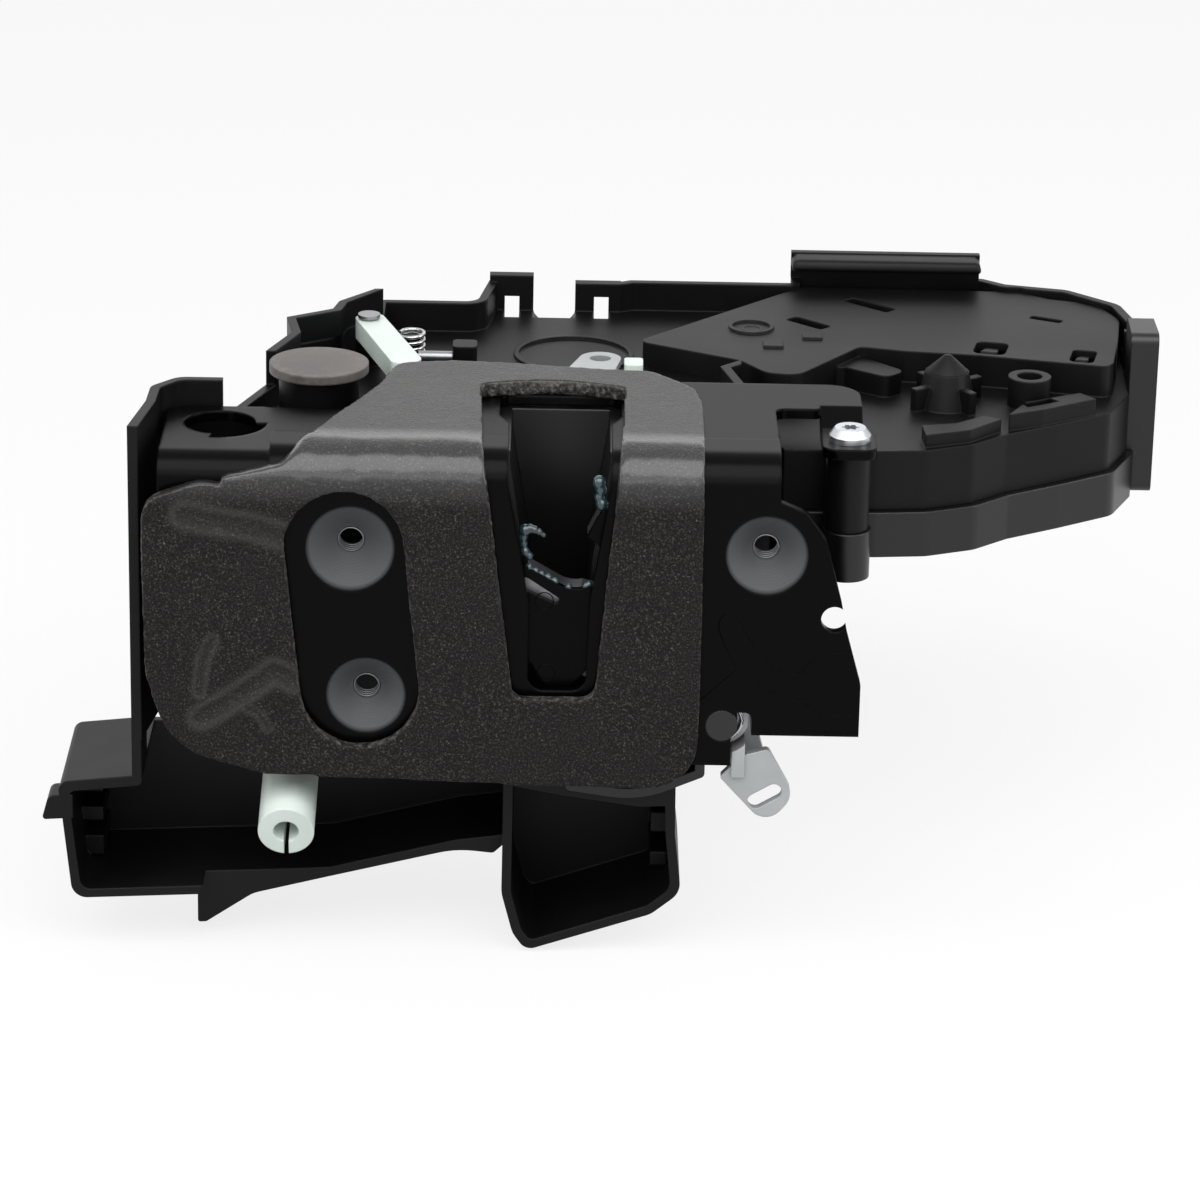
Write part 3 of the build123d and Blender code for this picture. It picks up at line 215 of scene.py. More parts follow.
def seat_marks():
    """Mask of the pressed seats and the height of their turning rings, from Object coordinates."""
    group, given, result = new_group(
        "seat_marks", [("Vector", "NodeSocketVector", None)],
        [("Mask", "NodeSocketFloat"), ("Height", "NodeSocketFloat")])
    link = group.links.new
    flat = group.nodes.new("ShaderNodeVectorMath")
    flat.operation = "MULTIPLY"
    flat.inputs[1].default_value = (1, 0, 1)
    link(given.outputs["Vector"], flat.inputs[0])
    nearest = None
    for (x, z), radius in SEATS:
        gap = group.nodes.new("ShaderNodeVectorMath")
        gap.operation = "DISTANCE"
        gap.inputs[1].default_value = (x / 1000, 0, z / 1000)
        link(flat.outputs["Vector"], gap.inputs[0])
        scaled = group.nodes.new("ShaderNodeMath")
        scaled.operation = "MULTIPLY"
        scaled.inputs[1].default_value = 1000 / radius
        link(gap.outputs["Value"], scaled.inputs[0])
        if nearest is None:
            nearest = scaled
        else:
            least = group.nodes.new("ShaderNodeMath")
            least.operation = "MINIMUM"
            link(nearest.outputs["Value"], least.inputs[0])
            link(scaled.outputs["Value"], least.inputs[1])
            nearest = least
    mask = group.nodes.new("ShaderNodeMapRange")
    mask.inputs["From Min"].default_value = 0.99
    mask.inputs["From Max"].default_value = 0.90
    link(nearest.outputs["Value"], mask.inputs["Value"])
    turn = group.nodes.new("ShaderNodeMath")
    turn.operation = "MULTIPLY"
    turn.inputs[1].default_value = SEAT_RINGS
    link(nearest.outputs["Value"], turn.inputs[0])
    wave = group.nodes.new("ShaderNodeMath")
    wave.operation = "SINE"
    link(turn.outputs["Value"], wave.inputs[0])
    rings = group.nodes.new("ShaderNodeMath")
    rings.operation = "MULTIPLY"
    link(wave.outputs["Value"], rings.inputs[0])
    link(mask.outputs["Result"], rings.inputs[1])
    link(mask.outputs["Result"], result.inputs["Mask"])
    link(rings.outputs["Value"], result.inputs["Height"])
    return group


BLACK_PAINT = finish_material(
    "black_paint", (0.0004, 0.0004, 0.0005), (0.0009, 0.0008, 0.0011), 0.2, 0.1, 260.0,
    0.0000008, 0.8, specular=0.07)
tree = BLACK_PAINT.node_tree
shader = tree.nodes["Principled BSDF"]
place = tree.nodes["Texture Coordinate"]
seats = tree.nodes.new("ShaderNodeGroup")
seats.node_tree = seat_marks()
tree.links.new(place.outputs["Object"], seats.inputs["Vector"])
grain = tree.nodes["Group"]
duller = tree.nodes.new("ShaderNodeMath")
duller.operation = "MULTIPLY_ADD"
duller.inputs[1].default_value = SEAT_DULLING
tree.links.new(seats.outputs["Mask"], duller.inputs[0])
tree.links.new(grain.outputs["Roughness"], duller.inputs[2])
tree.links.new(duller.outputs["Value"], shader.inputs["Roughness"])
# Painted sheen: the seats are coloured a lighter grey than the paint, for the light their turned
# cones reflect.
paler_tone = tree.nodes.new("ShaderNodeMix")
paler_tone.data_type = "RGBA"
paler_tone.inputs["B"].default_value = (0.082, 0.086, 0.089, 1)
tree.links.new(seats.outputs["Mask"], paler_tone.inputs["Factor"])
tree.links.new(grain.outputs["Colour"], paler_tone.inputs["A"])
tree.links.new(paler_tone.outputs["Result"], shader.inputs["Base Color"])
rings = tree.nodes.new("ShaderNodeBump")
rings.inputs["Distance"].default_value = 0.000012
tree.links.new(seats.outputs["Height"], rings.inputs["Height"])
tree.links.new(tree.nodes["Bump"].outputs["Normal"], rings.inputs["Normal"])
tree.links.new(rings.outputs["Normal"], shader.inputs["Normal"])
dress(["face_plate"], BLACK_PAINT)


def wire_piece(name, points, thickness, material, body="latch"):
    """Round wire or bead along a smooth line through points in millimetres, as a mesh."""
    line = bpy.data.curves.new(name, "CURVE")
    line.dimensions = "3D"
    line.bevel_depth = thickness / 2000
    line.bevel_resolution = 3
    line.resolution_u = 6
    line.use_fill_caps = True
    run = line.splines.new("NURBS")
    run.points.add(len(points) - 1)
    for point, place in zip(run.points, points):
        point.co = (place[0] / 1000, place[1] / 1000, place[2] / 1000, 1)
    run.order_u = 3
    run.use_endpoint_u = True
    piece = bpy.data.objects.new(name, line)
    bpy.context.collection.objects.link(piece)
    bpy.ops.object.select_all(action="DESELECT")
    bpy.context.view_layer.objects.active = piece
    piece.select_set(True)
    bpy.ops.object.convert(target="MESH")
    bpy.ops.object.shade_smooth()
    piece = bpy.context.object
    piece.data.materials.append(material)
    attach(piece, body)
    return piece


def on_face(points, level=0.06):
    """Points of the plate's face, in millimetres, from their X and Z."""
    return [(x, level, z) for x, z in points]


# The press tool leaves thin raised lines where the plate steps behind its lower right corner.
wire_piece("press_line_upper", on_face([
    (33.5, -21.8), (32.6, -20.4), (30.9, -17.4), (29.8, -14.2), (30.2, -12.4), (31.6, -11.5),
    (33.2, -12.0), (34.4, -14.0), (36.0, -16.9), (38.4, -20.3), (41.4, -22.9), (44.0, -23.8),
    (45.9, -22.9), (47.2, -20.6), (50.0, -19.2), (52.4, -19.0), (54.4, -19.0)]),
    0.30, BLACK_PAINT)
wire_piece("press_line_lower", on_face([
    (37.4, -25.6), (39.7, -26.9), (42.3, -28.1), (45.4, -28.8), (47.4, -30.0), (49.2, -31.2),
    (51.7, -31.6), (55.6, -31.5)]), 0.30, BLACK_PAINT)
wire_piece("press_line_notch", on_face([(33.6, -22.6), (31.0, -24.9), (26.9, -29.0)]),
           0.26, BLACK_PAINT)

# ---------------------------------------------------------------- bright metal
# Pins, levers and screws: zinc plated, phosphated or left oiled, as each needs. What lies behind
# the bores is coloured black as painted shade, so they look deep.

BRIGHT_ZINC = finish_material(
    "bright_zinc", (0.60, 0.62, 0.64), (0.46, 0.48, 0.51), 0.24, 0.2, 700.0, 0.000008, 0.2,
    metallic=1.0)
dress(["flange_screw", "case_screw_1", "case_screw_2", "case_screw_3"], BRIGHT_ZINC)
DULL_ZINC = finish_material(
    "dull_zinc", (0.36, 0.375, 0.38), (0.46, 0.475, 0.48), 0.42, 0.16, 700.0, 0.00001, 0.3,
    metallic=0.5)
dress(["release_lever", "inner_lever"], DULL_ZINC)
HARD_STEEL = finish_material(
    "hard_steel", (0.30, 0.30, 0.31), (0.22, 0.22, 0.23), 0.28, 0.2, 600.0, 0.000008, 0.2,
    metallic=1.0)
dress(["catch_core", "pawl", "catch_pin", "wheel_pin", "outside_pin", "inner_pin",
       "rod_pin", "blocker_pin"], HARD_STEEL)
# Painted shade: the back plate and pawl pin behind the bores are coloured black, so the bores look
# deep.
SHADE_BLACK_STEEL = finish_material(
    "shade_black_steel", (0.0015, 0.0015, 0.0017), (0.003, 0.003, 0.0033), 0.3, 0.15, 600.0,
    0.000006, 0.2)
dress(["back_plate", "pawl_pin"], SHADE_BLACK_STEEL)
SPRING_WIRE = finish_material(
    "spring_wire", (0.5, 0.5, 0.5), (0.4, 0.4, 0.41), 0.2, 0.12, 900.0, 0.000004, 0.0,
    metallic=1.0)
BRASS = finish_material(
    "brass", (0.6, 0.43, 0.2), (0.5, 0.35, 0.16), 0.25, 0.15, 900.0, 0.000006, 0.2, metallic=1.0)
dress(["motor_worm", "contact_plate", "connector_pins"], BRASS)
MOTOR_CAN = finish_material(
    "motor_can", (0.55, 0.56, 0.57), (0.45, 0.46, 0.48), 0.25, 0.15, 700.0, 0.000006, 0.3,
    metallic=1.0)
dress(["motor"], MOTOR_CAN)


# ---------------------------------------------------------------- threads
# A rolled thread runs down each of the three bores. Its crests are rubbed bright.

THREAD_RADIUS = 2.42
THREAD_START = 4.7
THREAD_TURNS = 4
TURN_STEPS = 12

for (x, z), _ in SEATS:
    thread = []
    for step in range(TURN_STEPS * THREAD_TURNS + 1):
        angle = step * math.pi / 6
        thread.append((x + THREAD_RADIUS * math.cos(angle), THREAD_START + step / TURN_STEPS,
                       z + THREAD_RADIUS * math.sin(angle)))
    wire_piece(f"thread_{'left' if x < 0 else 'right'}_{'upper' if z > -10 else 'lower'}",
               thread, 0.24, HARD_STEEL)


# ---------------------------------------------------------------- coil springs
# Three springs of drawn wire: the small one stands beside the outside lever, the others wind
# round the pivots of the catch and the pawl.

def wound(node, along, radius, turns, wire, name):
    """Smooth coil in the space of a CAD spring, with closed end turns, that replaces it."""
    low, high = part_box(node)
    middle, size = (low + high) * 500, (high - low) * 1000
    start = (low[along] * 1000) + wire * 0.55
    rise = size[along] - wire * 1.1
    places = []
    for step in range(int(TURN_STEPS * turns) + 1):
        part = step / (TURN_STEPS * turns)
        climb = min(max((part * turns - 0.5) / (turns - 1.0), 0.0), 1.0) if turns > 2 else part
        angle = step * math.pi / 6
        spot = [middle.x, middle.y, middle.z]
        sides = [axis for axis in (0, 1, 2) if axis != along]
        spot[sides[0]] += radius * math.cos(angle)
        spot[sides[1]] += radius * math.sin(angle)
        spot[along] = start + rise * climb
        places.append(spot)
    piece = wire_piece(name, places, wire, SPRING_WIRE)
    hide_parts(node)
    return piece


wound("return_spring", 2, 2.45, 4.5, 0.8, "return_coil")
wound("catch_spring", 1, 5.4, 4.0, 1.0, "catch_coil")
wound("pawl_spring", 1, 4.0, 2.5, 0.7, "pawl_coil")


# ---------------------------------------------------------------- height disc
# The turned steel disc on the housing's post is brown phosphated and speckled. Its rim and
# parts of its top are rubbed to bare metal.

def disc_finish():
    """Speckled brown phosphate that wears to grey metal near the rim of the disc."""
    material = finish_material(
        "phosphate", (0.060, 0.054, 0.050), (0.125, 0.112, 0.103), 0.38, 0.25, 1400.0, 0.00003, 0.5,
        metallic=0.2)
    tree = material.node_tree
    link = tree.links.new
    place = tree.nodes["Texture Coordinate"]
    low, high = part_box("height_disc")
    middle = (low + high) / 2
    gap = tree.nodes.new("ShaderNodeVectorMath")
    gap.operation = "DISTANCE"
    gap.inputs[1].default_value = (middle.x, middle.y, high.z)
    link(place.outputs["Object"], gap.inputs[0])
    rim = tree.nodes.new("ShaderNodeMapRange")
    rim.inputs["From Min"].default_value = 0.0070
    rim.inputs["From Max"].default_value = 0.0078
    rim.inputs["To Max"].default_value = 0.12
    link(gap.outputs["Value"], rim.inputs["Value"])
    specks = noise_node(tree, place.outputs["Object"], 620.0, 5.0, 0.75)
    paler_tone = tree.nodes.new("ShaderNodeMath")
    paler_tone.operation = "ADD"
    link(rim.outputs["Result"], paler_tone.inputs[0])
    link(specks.outputs["Fac"], paler_tone.inputs[1])
    bare = ramp_node(tree, paler_tone.outputs["Value"], [(0.56, 0.0), (0.70, 0.4), (1.0, 0.7)])
    tone = tree.nodes.new("ShaderNodeMix")
    tone.data_type = "RGBA"
    link(bare.outputs["Color"], tone.inputs["Factor"])
    link(tree.nodes["Group"].outputs["Colour"], tone.inputs["A"])
    tone.inputs["B"].default_value = (0.15, 0.135, 0.125, 1)
    link(tone.outputs["Result"], tree.nodes["Principled BSDF"].inputs["Base Color"])
    return material


dress(["height_disc"], disc_finish())


# ---------------------------------------------------------------- white acetal
# Rod clip, outside lever, worm wheel and stop are natural acetal, slightly green and waxy.

WHITE_ACETAL = finish_material(
    "white_acetal", (0.62, 0.70, 0.66), (0.70, 0.77, 0.72), 0.3, 0.12, 900.0, 0.000008, 0.35)
dress(["rod_clip", "outside_lever", "worm_wheel", "stop_bumper"], WHITE_ACETAL)


# ---------------------------------------------------------------- shade block behind the right seat
# A black block closes the space behind the right seat as painted shade, so its bore looks black.

def shaped_block(name, place, size, material, body="latch", turn=0.0, tilt=0.0,
                 top=(1.0, 1.0), far=(1.0, 1.0), edge=0.4):
    """Block in millimetres whose top or far face is drawn in, with rounded edges."""
    bpy.ops.object.select_all(action="DESELECT")
    bpy.ops.mesh.primitive_cube_add(size=1.0)
    piece = bpy.context.object
    piece.name = name
    bpy.ops.object.mode_set(mode="EDIT")
    for side, axis, draw in ((top, 2, (top[0], top[1], 1.0)), (far, 1, (far[0], 1.0, far[1]))):
        if side == (1.0, 1.0):
            continue
        held = bmesh.from_edit_mesh(piece.data)
        for vertex in held.verts:
            vertex.select_set(vertex.co[axis] > 0.4)
        held.select_flush(True)
        bmesh.update_edit_mesh(piece.data)
        centre = [0.0, 0.0, 0.0]
        centre[axis] = 0.5
        bpy.ops.transform.resize(value=draw, center_override=centre)
    bpy.ops.mesh.select_all(action="SELECT")
    bpy.ops.transform.resize(value=[side / 1000 for side in size], center_override=(0, 0, 0))
    bpy.ops.object.mode_set(mode="OBJECT")
    piece.rotation_euler = (math.radians(tilt), 0, math.radians(turn))
    piece.location = [side / 1000 for side in place]
    bpy.ops.object.transform_apply(location=True, rotation=True, scale=True)
    rounding = piece.modifiers.new("edge", "BEVEL")
    rounding.width, rounding.segments = edge / 1000, 3
    bpy.ops.object.modifier_apply(modifier="edge")
    bpy.ops.object.shade_smooth_by_angle(angle=math.radians(40))
    piece.data.materials.append(material)
    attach(piece, body)
    return piece


block_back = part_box("latch_block")[1].y * 1000
# Painted shade: black blocks behind the right seat's bore.
shaped_block("bore_shade_block", (34.3, block_back - 2.2, -9.0), (14.6, 3.6, 34.0), BLACK_MOULDING)
shaped_block("bore_shade_block_foot", (43.4, block_back - 2.2, -16.4), (4.2, 3.6, 7.2), BLACK_MOULDING)


# ---------------------------------------------------------------- cover marks
# The mould leaves a small ring on the plateau of the actuator's cover, and a springy tongue in
# each of its two clip windows.

def ring_of(x, y, radius, level, count=24):
    """Closed ring of points in millimetres at one level."""
    return [(x + radius * math.cos(step * 2 * math.pi / count),
             y + radius * math.sin(step * 2 * math.pi / count), level) for step in range(count + 1)]


wire_piece("plateau_ring", ring_of(38.1, 90.6, 1.9, 15.5), 0.34, BLACK_MOULDING)
shaped_block("clip_tongue_front", (85.4, 80.9, 14.6), (3.4, 6.6, 1.0), ROUGH_MOULDING,
             turn=-12, tilt=-10, far=(0.75, 0.8), edge=0.18)
shaped_block("clip_tongue_back", (103.4, 76.6, 14.6), (2.6, 6.6, 1.0), ROUGH_MOULDING,
             turn=-12, tilt=-10, far=(0.75, 0.8), edge=0.18)


# ---------------------------------------------------------------- cone and rear cap
# The boss on the deck is moulded up to a blunt cone between four fins, and a rounded cap is
# moulded along the top of the rear wall. Both are black glass-filled nylon.

bpy.ops.object.select_all(action="DESELECT")
bpy.ops.mesh.primitive_cone_add(vertices=48, radius1=0.0043, radius2=0.0006, depth=0.0034,
                                location=(0.0755, 0.064, 0.0176))
tip = bpy.context.object
tip.name = "cone_tip"
bpy.ops.object.transform_apply(location=True, rotation=True, scale=True)
soft_tip = tip.modifiers.new("edge", "BEVEL")
soft_tip.width, soft_tip.segments = 0.0003, 3
bpy.ops.object.modifier_apply(modifier="edge")
bpy.ops.object.shade_smooth_by_angle(angle=math.radians(40))
tip.data.materials.append(ROUGH_MOULDING)
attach(tip, "latch")
for number, turn in enumerate((35, 125)):
    shaped_block(f"cone_fin_{number + 1}", (75.5, 64.0, 14.0), (16.0, 1.5, 10.0), ROUGH_MOULDING,
                 turn=turn, top=(0.10, 0.6), edge=0.25)
shaped_block("rear_cap", (66.7, 121.6, 20.6), (39.4, 7.4, 2.4), ROUGH_MOULDING,
             top=(0.97, 0.86), edge=0.9)


# ---------------------------------------------------------------- catch marks
# The tool's two ejector pins leave shallow rings on the face of the catch's cover, which is
# moulded over its steel core. The rings turn with the catch.

catch_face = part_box("catch_cover")[0].y * 1000
for number, (x, z) in enumerate(((-2.5, -10.7), (-2.0, -25.0))):
    mark = [(px, catch_face + 0.05, z + py - x) for px, py, _ in ring_of(x, x, 1.7, 0.0)]
    wire_piece(f"catch_mark_{number + 1}", mark, 0.22, SATIN_NYLON, body="catch")


# ---------------------------------------------------------------- grease
# Blue-grey grease squeezes out between the catch, its damping slot and the mouth's liner.

GREASE = finish_material(
    "grease", (0.010, 0.024, 0.030), (0.030, 0.060, 0.070), 0.10, 0.1, 300.0, 0.00006, 0.0,
    coat=0.4, coat_roughness=0.05)
DROP_SWELL = 1.35
GREASE_CELL = 0.00018
MELT_PASSES = 9


def grease_blob(name, drops, body="latch", on=None):
    """One smooth lump of grease from overlapping drops (x, y, z, radius) in millimetres, set on
    the surface of the CAD piece it clings to when one is named."""
    bpy.ops.object.select_all(action="DESELECT")
    made = []
    for x, y, z, radius in drops:
        place = Vector((x / 1000, y / 1000, z / 1000))
        if on:
            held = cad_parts[on]
            place = held.matrix_world @ held.closest_point_on_mesh(
                held.matrix_world.inverted() @ place)[1]
        bpy.ops.mesh.primitive_ico_sphere_add(subdivisions=3, radius=DROP_SWELL * radius / 1000,
                                              location=place)
        made.append(bpy.context.object)
    for drop in made:
        drop.select_set(True)
    bpy.ops.object.join()
    piece = bpy.context.object
    piece.name = name
    bpy.ops.object.transform_apply(location=True, rotation=True, scale=True)
    join = piece.modifiers.new("join", "REMESH")
    join.mode = "VOXEL"
    join.voxel_size = GREASE_CELL
    bpy.ops.object.modifier_apply(modifier="join")
    melt = piece.modifiers.new("melt", "SMOOTH")
    melt.iterations = MELT_PASSES
    bpy.ops.object.modifier_apply(modifier="melt")
    bpy.ops.object.shade_smooth()
    piece.data.materials.append(GREASE)
    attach(piece, body)


grease_blob("grease_side", [(7.3, 3.4, 12.6, 1.0), (7.7, 3.5, 11.2, 0.9), (7.4, 3.5, 9.6, 0.8),
                            (7.9, 3.4, 8.4, 1.0), (8.3, 3.3, 7.7, 0.6)])
grease_blob("grease_curl", [(-6.3, 3.4, 3.0, 0.9), (-5.4, 3.2, 3.4, 0.7), (-4.5, 3.1, 3.2, 0.6),
                            (-3.6, 3.0, 2.8, 0.5), (-2.8, 3.0, 2.2, 0.4), (-6.6, 3.4, 1.6, 0.7),
                            (-6.5, 3.4, 0.3, 0.6), (-6.2, 3.3, -1.2, 0.7), (-5.4, 3.2, -2.0, 0.6)])
grease_blob("grease_slot", [(-4.3, 3.3, -2.3, 0.6), (-3.4, 3.3, -2.0, 0.4), (-2.2, 3.3, -1.7, 0.5),
                            (-1.0, 3.4, -2.2, 0.5), (0.2, 3.5, -2.9, 0.6), (1.5, 3.5, -3.5, 0.6),
                            (2.8, 3.5, -4.3, 0.6), (4.0, 3.5, -5.2, 0.6), (5.0, 3.6, -6.1, 0.6),
                            (6.0, 3.6, -6.6, 0.5)], body="catch", on="catch_cover")


# ---------------------------------------------------------------- foam gasket
# Closed-cell foam, 3 mm thick, die cut and stuck to the plate round the mouth and the fixings,
# and wrapped over the fold, where its skin is stretched and shines. Its cut edges show open
# cells, and handling has creased its lower left corner. Along the creases a lighter colour is
# painted as highlight.

FOAM_CELL = 0.0005
FOAM_ROUNDING = 5
CREASES = [
    # depth and half width in millimetres, then X and Z of a line along the front skin
    (0.45, 1.3, [(-48.7, -25.3), (-52.4, -23.4), (-58.8, -28.3), (-66.0, -33.0)]),
    (0.30, 0.7, [(-63.9, -17.6), (-65.6, -21.4), (-66.4, -27.8)]),
    (0.30, 1.4, [(-68.8, 6.9), (-63.1, 5.8), (-56.7, 4.9), (-51.2, 3.3)]),
    (0.16, 0.5, [(-60.2, -29.1), (-55.1, -32.2), (-53.6, -34.8)]),
]


def line_gap(x, z, line):
    """Distance in millimetres from a point of the face to a line of points."""
    least = 1e9
    for (ax, az), (bx, bz) in zip(line, line[1:]):
        run = (bx - ax, bz - az)
        part = ((x - ax) * run[0] + (z - az) * run[1]) / (run[0] ** 2 + run[1] ** 2)
        part = min(max(part, 0.0), 1.0)
        least = min(least, math.hypot(x - ax - part * run[0], z - az - part * run[1]))
    return least


def foam_finish():
    """Dark brown-grey foam: fine pale specks, open cells on cut edges, a shine where stretched, and
    a painted highlight along the creases.
    """
    material = bpy.data.materials.new("gasket_foam")
    material.use_nodes = True
    tree = material.node_tree
    link = tree.links.new
    shader = tree.nodes["Principled BSDF"]
    place = tree.nodes.new("ShaderNodeTexCoord")
    cells = tree.nodes.new("ShaderNodeTexVoronoi")
    cells.inputs["Scale"].default_value = 1500.0
    link(place.outputs["Object"], cells.inputs["Vector"])
    specks = noise_node(tree, place.outputs["Object"], 2600.0, 3.0, 0.85)
    skin = ramp_node(tree, specks.outputs["Fac"], [
        (0.40, (0.005, 0.0045, 0.0045)), (0.54, (0.0105, 0.0095, 0.0093)),
        (0.62, (0.040, 0.036, 0.035)), (0.70, (0.14, 0.13, 0.125))])
    pores = noise_node(tree, place.outputs["Object"], 900.0, 4.0, 0.8)
    open_cells = ramp_node(tree, pores.outputs["Fac"], [
        (0.38, (0.005, 0.0045, 0.0045)), (0.50, (0.030, 0.028, 0.027)), (0.66, (0.16, 0.15, 0.14))])
    cut = tree.nodes.new("ShaderNodeAttribute")
    cut.attribute_name = "cut_edge"
    tone = tree.nodes.new("ShaderNodeMix")
    tone.data_type = "RGBA"
    link(cut.outputs["Fac"], tone.inputs["Factor"])
    link(skin.outputs["Color"], tone.inputs["A"])
    link(open_cells.outputs["Color"], tone.inputs["B"])
    # Painted highlight: the foam is coloured lighter along its creases, mixed with wear on the cut
    # edges.
    edge_wear_and_crease_highlight = tree.nodes.new("ShaderNodeAttribute")
    edge_wear_and_crease_highlight.attribute_name = "edge_wear_and_crease_highlight"
    wear_and_highlight_mix = tree.nodes.new("ShaderNodeMix")
    wear_and_highlight_mix.data_type = "RGBA"
    wear_and_highlight_mix.inputs["B"].default_value = (0.075, 0.070, 0.068, 1)
    link(edge_wear_and_crease_highlight.outputs["Fac"], wear_and_highlight_mix.inputs["Factor"])
    link(tone.outputs["Result"], wear_and_highlight_mix.inputs["A"])
    link(wear_and_highlight_mix.outputs["Result"], shader.inputs["Base Color"])
    stretched = tree.nodes.new("ShaderNodeAttribute")
    stretched.attribute_name = "stretched"
    dull = tree.nodes.new("ShaderNodeMapRange")
    dull.inputs["To Min"].default_value = 0.60
    dull.inputs["To Max"].default_value = 0.28
    link(stretched.outputs["Fac"], dull.inputs["Value"])
    link(dull.outputs["Result"], shader.inputs["Roughness"])
    shader.inputs["Specular IOR Level"].default_value = 0.12
    shader.inputs["Coat Roughness"].default_value = 0.2
    link(stretched.outputs["Fac"], shader.inputs["Coat Weight"])
    leather = noise_node(tree, place.outputs["Object"], 420.0, 3.0, 0.6)
    height = tree.nodes.new("ShaderNodeMath")
    height.operation = "ADD"
    link(cells.outputs["Distance"], height.inputs[0])
    link(specks.outputs["Fac"], height.inputs[1])
    bump = tree.nodes.new("ShaderNodeBump")
    bump.inputs["Distance"].default_value = 0.00016
    link(height.outputs["Value"], bump.inputs["Height"])
    folds = tree.nodes.new("ShaderNodeBump")
    folds.inputs["Distance"].default_value = 0.00035
    link(stretched.outputs["Fac"], folds.inputs["Strength"])
    link(leather.outputs["Fac"], folds.inputs["Height"])
    link(bump.outputs["Normal"], folds.inputs["Normal"])
    link(folds.outputs["Normal"], shader.inputs["Normal"])
    return material


bpy.ops.object.select_all(action="DESELECT")
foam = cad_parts["foam_gasket"].copy()
foam.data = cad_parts["foam_gasket"].data.copy()
foam.name = "foam_seal"
foam.parent = None
foam.matrix_world = Matrix.Identity(4)
bpy.context.collection.objects.link(foam)
bpy.context.view_layer.objects.active = foam
foam.select_set(True)
bpy.ops.object.mode_set(mode="EDIT")
bpy.ops.mesh.select_all(action="SELECT")
bpy.ops.mesh.remove_doubles(threshold=0.00001)
bpy.ops.object.mode_set(mode="OBJECT")
cells = foam.modifiers.new("cells", "REMESH")
cells.mode = "VOXEL"
cells.voxel_size = FOAM_CELL
bpy.ops.object.modifier_apply(modifier="cells")
soften = foam.modifiers.new("soften", "SMOOTH")
soften.iterations = FOAM_ROUNDING
soften.factor = 0.5
bpy.ops.object.modifier_apply(modifier="soften")

normals = [vertex.normal.copy() for vertex in foam.data.vertices]
cut_edge, edge_wear_and_crease_highlight, stretched = [], [], []
for vertex, normal in zip(foam.data.vertices, normals):
    x, y, z = vertex.co * 1000
    swell = noise.noise(vertex.co * 90.0) * 0.00016 + noise.noise(vertex.co * 420.0) * 0.00006
    bend = min(max((z - 9.0) / 5.0, 0.0), 1.0) * min(max((12.0 - y) / 6.0, 0.0), 1.0)
    wrapped = min(max((y - 1.0) / 8.0, 0.0), 0.45) if z > 12.0 else 0.0
    if z < 11.0:
        flat = abs(normal.y)
    else:
        flat = abs(normal.z) if y > 5.0 else math.hypot(normal.y, normal.z)
    side = min(max((0.80 - flat) / 0.45, 0.0), 1.0)
    crease_highlight = 0.0
    if y < -1.0 and x < -45.0:
        for depth, width, line in CREASES:
            near = math.exp(-(line_gap(x, z, line) / width) ** 2)
            swell -= depth / 1000 * near
            lip = math.exp(-((line_gap(x, z, line) - 1.6 * width) / (0.6 * width)) ** 2)
            swell += 0.25 * depth / 1000 * lip
            # Painted highlight: the crease line and its lips are coloured lighter.
            crease_highlight = max(crease_highlight, 0.35 * lip + 0.15 * near)
    rough = noise.noise(vertex.co * 700.0)
    swell += side * rough * 0.00012
    vertex.co = vertex.co + normal * swell
    cut_edge.append(side)
    edge_wear_and_crease_highlight.append(min(crease_highlight + 0.5 * side * max(rough, 0.0), 1.0))
    stretched.append(max(bend, wrapped))
for label, values in (("cut_edge", cut_edge), ("edge_wear_and_crease_highlight", edge_wear_and_crease_highlight), ("stretched", stretched)):
    held = foam.data.attributes.new(label, "FLOAT", "POINT")
    held.data.foreach_set("value", values)
bpy.ops.object.shade_smooth()
foam.data.materials.clear()
foam.data.materials.append(foam_finish())
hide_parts("foam_gasket")
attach(foam, "latch")


# ---------------------------------------------------------------- floor, light and camera
# A pale floor under the lowest pocket, in a white room. The camera, reflections and whatever is
# seen through a surface all get the same background; only the diffuse light off it is held down.
# A big softbox in front overhead draws the bright band along the folds.

FLOOR_LEVEL = cad_low.z - 0.0008
FLOOR_BOUNCE = 0.45
ROOM_BOUNCE = 0.4
FLOOR_GLOW = 0.8


def background_rays(tree):
    """One for camera, glossy and transmission rays, which see the pale background."""
    path = tree.nodes.new("ShaderNodeLightPath")
    either = tree.nodes.new("ShaderNodeMath")
    either.operation = "MAXIMUM"
    tree.links.new(path.outputs["Is Camera Ray"], either.inputs[0])
    tree.links.new(path.outputs["Is Glossy Ray"], either.inputs[1])
    seen = tree.nodes.new("ShaderNodeMath")
    seen.operation = "MAXIMUM"
    tree.links.new(either.outputs["Value"], seen.inputs[0])
    tree.links.new(path.outputs["Is Transmission Ray"], seen.inputs[1])
    return seen.outputs["Value"]


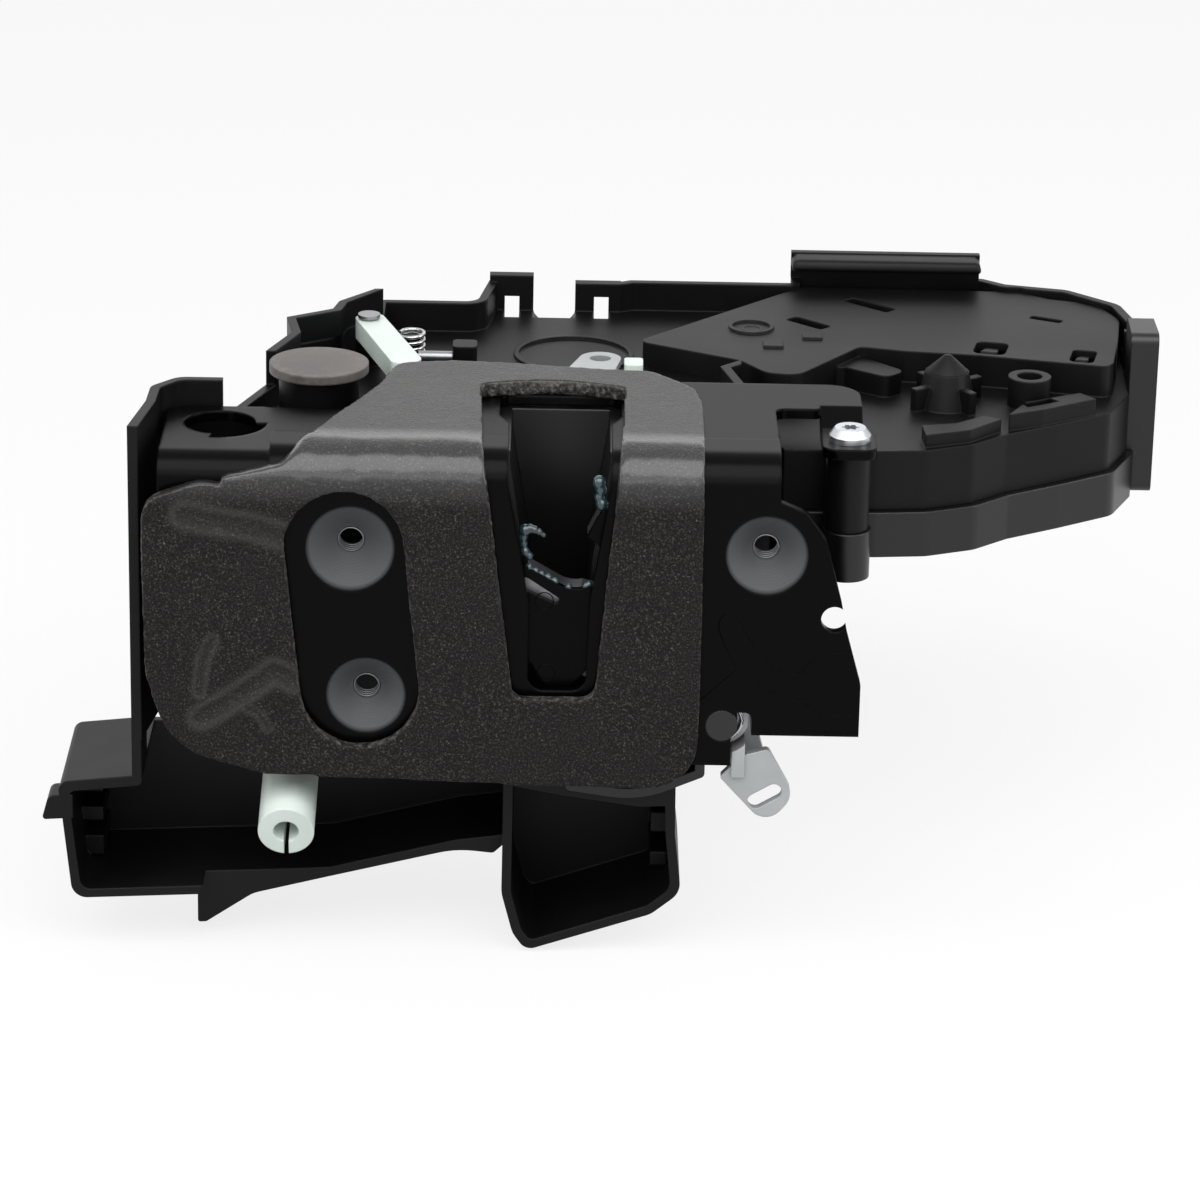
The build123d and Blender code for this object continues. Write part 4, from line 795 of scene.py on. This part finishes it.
bpy.ops.mesh.primitive_plane_add(size=8.0, location=(0, 0.6, FLOOR_LEVEL))
floor = bpy.context.object
floor.name = "floor"
paint = bpy.data.materials.new("floor_paint")
paint.use_nodes = True
tree = paint.node_tree
seen = background_rays(tree)
matt = tree.nodes["Principled BSDF"]
matt.inputs["Roughness"].default_value = 0.95
matt.inputs["Specular IOR Level"].default_value = 0.0
tone = tree.nodes.new("ShaderNodeMix")
tone.data_type = "RGBA"
tone.inputs["A"].default_value = (FLOOR_BOUNCE, FLOOR_BOUNCE, FLOOR_BOUNCE, 1)
tone.inputs["B"].default_value = (0.8, 0.8, 0.8, 1)
tree.links.new(seen, tone.inputs["Factor"])
tree.links.new(tone.outputs["Result"], matt.inputs["Base Color"])
glow = tree.nodes.new("ShaderNodeEmission")
tree.links.new(seen, glow.inputs["Strength"])
blend = tree.nodes.new("ShaderNodeMixShader")
share = tree.nodes.new("ShaderNodeMath")
share.operation = "MULTIPLY"
share.inputs[1].default_value = FLOOR_GLOW
tree.links.new(seen, share.inputs[0])
tree.links.new(share.outputs["Value"], blend.inputs["Fac"])
tree.links.new(matt.outputs["BSDF"], blend.inputs[1])
tree.links.new(glow.outputs["Emission"], blend.inputs[2])
tree.links.new(blend.outputs["Shader"], tree.nodes["Material Output"].inputs["Surface"])
floor.data.materials.append(paint)

world = bpy.data.worlds.new("studio")
world.use_nodes = True
tree = world.node_tree
strength = tree.nodes.new("ShaderNodeMix")
strength.data_type = "FLOAT"
strength.inputs["A"].default_value = ROOM_BOUNCE
strength.inputs["B"].default_value = 1.0
tree.links.new(background_rays(tree), strength.inputs["Factor"])
tree.links.new(strength.outputs["Result"], tree.nodes["Background"].inputs["Strength"])
tree.nodes["Background"].inputs["Color"].default_value = (1.0, 1.0, 1.0, 1)
bpy.context.scene.world = world

LAMPS = [
    # name, place, aimed at, width, height, watts
    ("overhead", (0.0, -0.62, 0.84), (0.02, 0.03, 0.0), 1.5, 0.85, 14.0),
    ("front", (-0.1, -1.3, 0.45), (0.0, 0.0, -0.03), 0.7, 0.4, 1.5),
    ("back", (0.15, 0.95, 0.65), (0.02, 0.05, 0.0), 1.2, 0.4, 1.5),
    ("left", (-0.95, -0.25, 0.40), (0.0, 0.03, 0.0), 0.45, 0.7, 3.0),
    ("right", (0.95, -0.15, 0.40), (0.0, 0.03, 0.0), 0.45, 0.7, 3.5),
]
for name, place, target, width, height, watts in LAMPS:
    data = bpy.data.lights.new(name, "AREA")
    data.shape = "RECTANGLE"
    data.size, data.size_y, data.energy = width, height, watts
    lamp = bpy.data.objects.new(name, data)
    bpy.context.collection.objects.link(lamp)
    lamp.location = place
    lamp.rotation_euler = (Vector(target) - Vector(place)).to_track_quat("-Z", "Y").to_euler()

SEEN_AT = Vector((0.0078, 0.0, -0.0093))
DISTANCE, RISE, SWING, ROLL = 0.9, math.radians(20.5), math.radians(-0.6), math.radians(1.2)
away = Vector((math.sin(SWING) * math.cos(RISE), -math.cos(SWING) * math.cos(RISE), math.sin(RISE)))
camera = bpy.data.objects.new("camera", bpy.data.cameras.new("camera"))
bpy.context.collection.objects.link(camera)
camera.data.lens = 145.8
camera.data.sensor_width = 36.0
camera.data.clip_start, camera.data.clip_end = 0.05, 20.0
camera.location = SEEN_AT + away * DISTANCE
camera.rotation_mode = "QUATERNION"
aim = (-away).to_track_quat("-Z", "Y")
camera.rotation_quaternion = aim @ Euler((0, 0, ROLL)).to_quaternion()
bpy.context.scene.camera = camera
bpy.context.scene.view_settings.view_transform = "Standard"
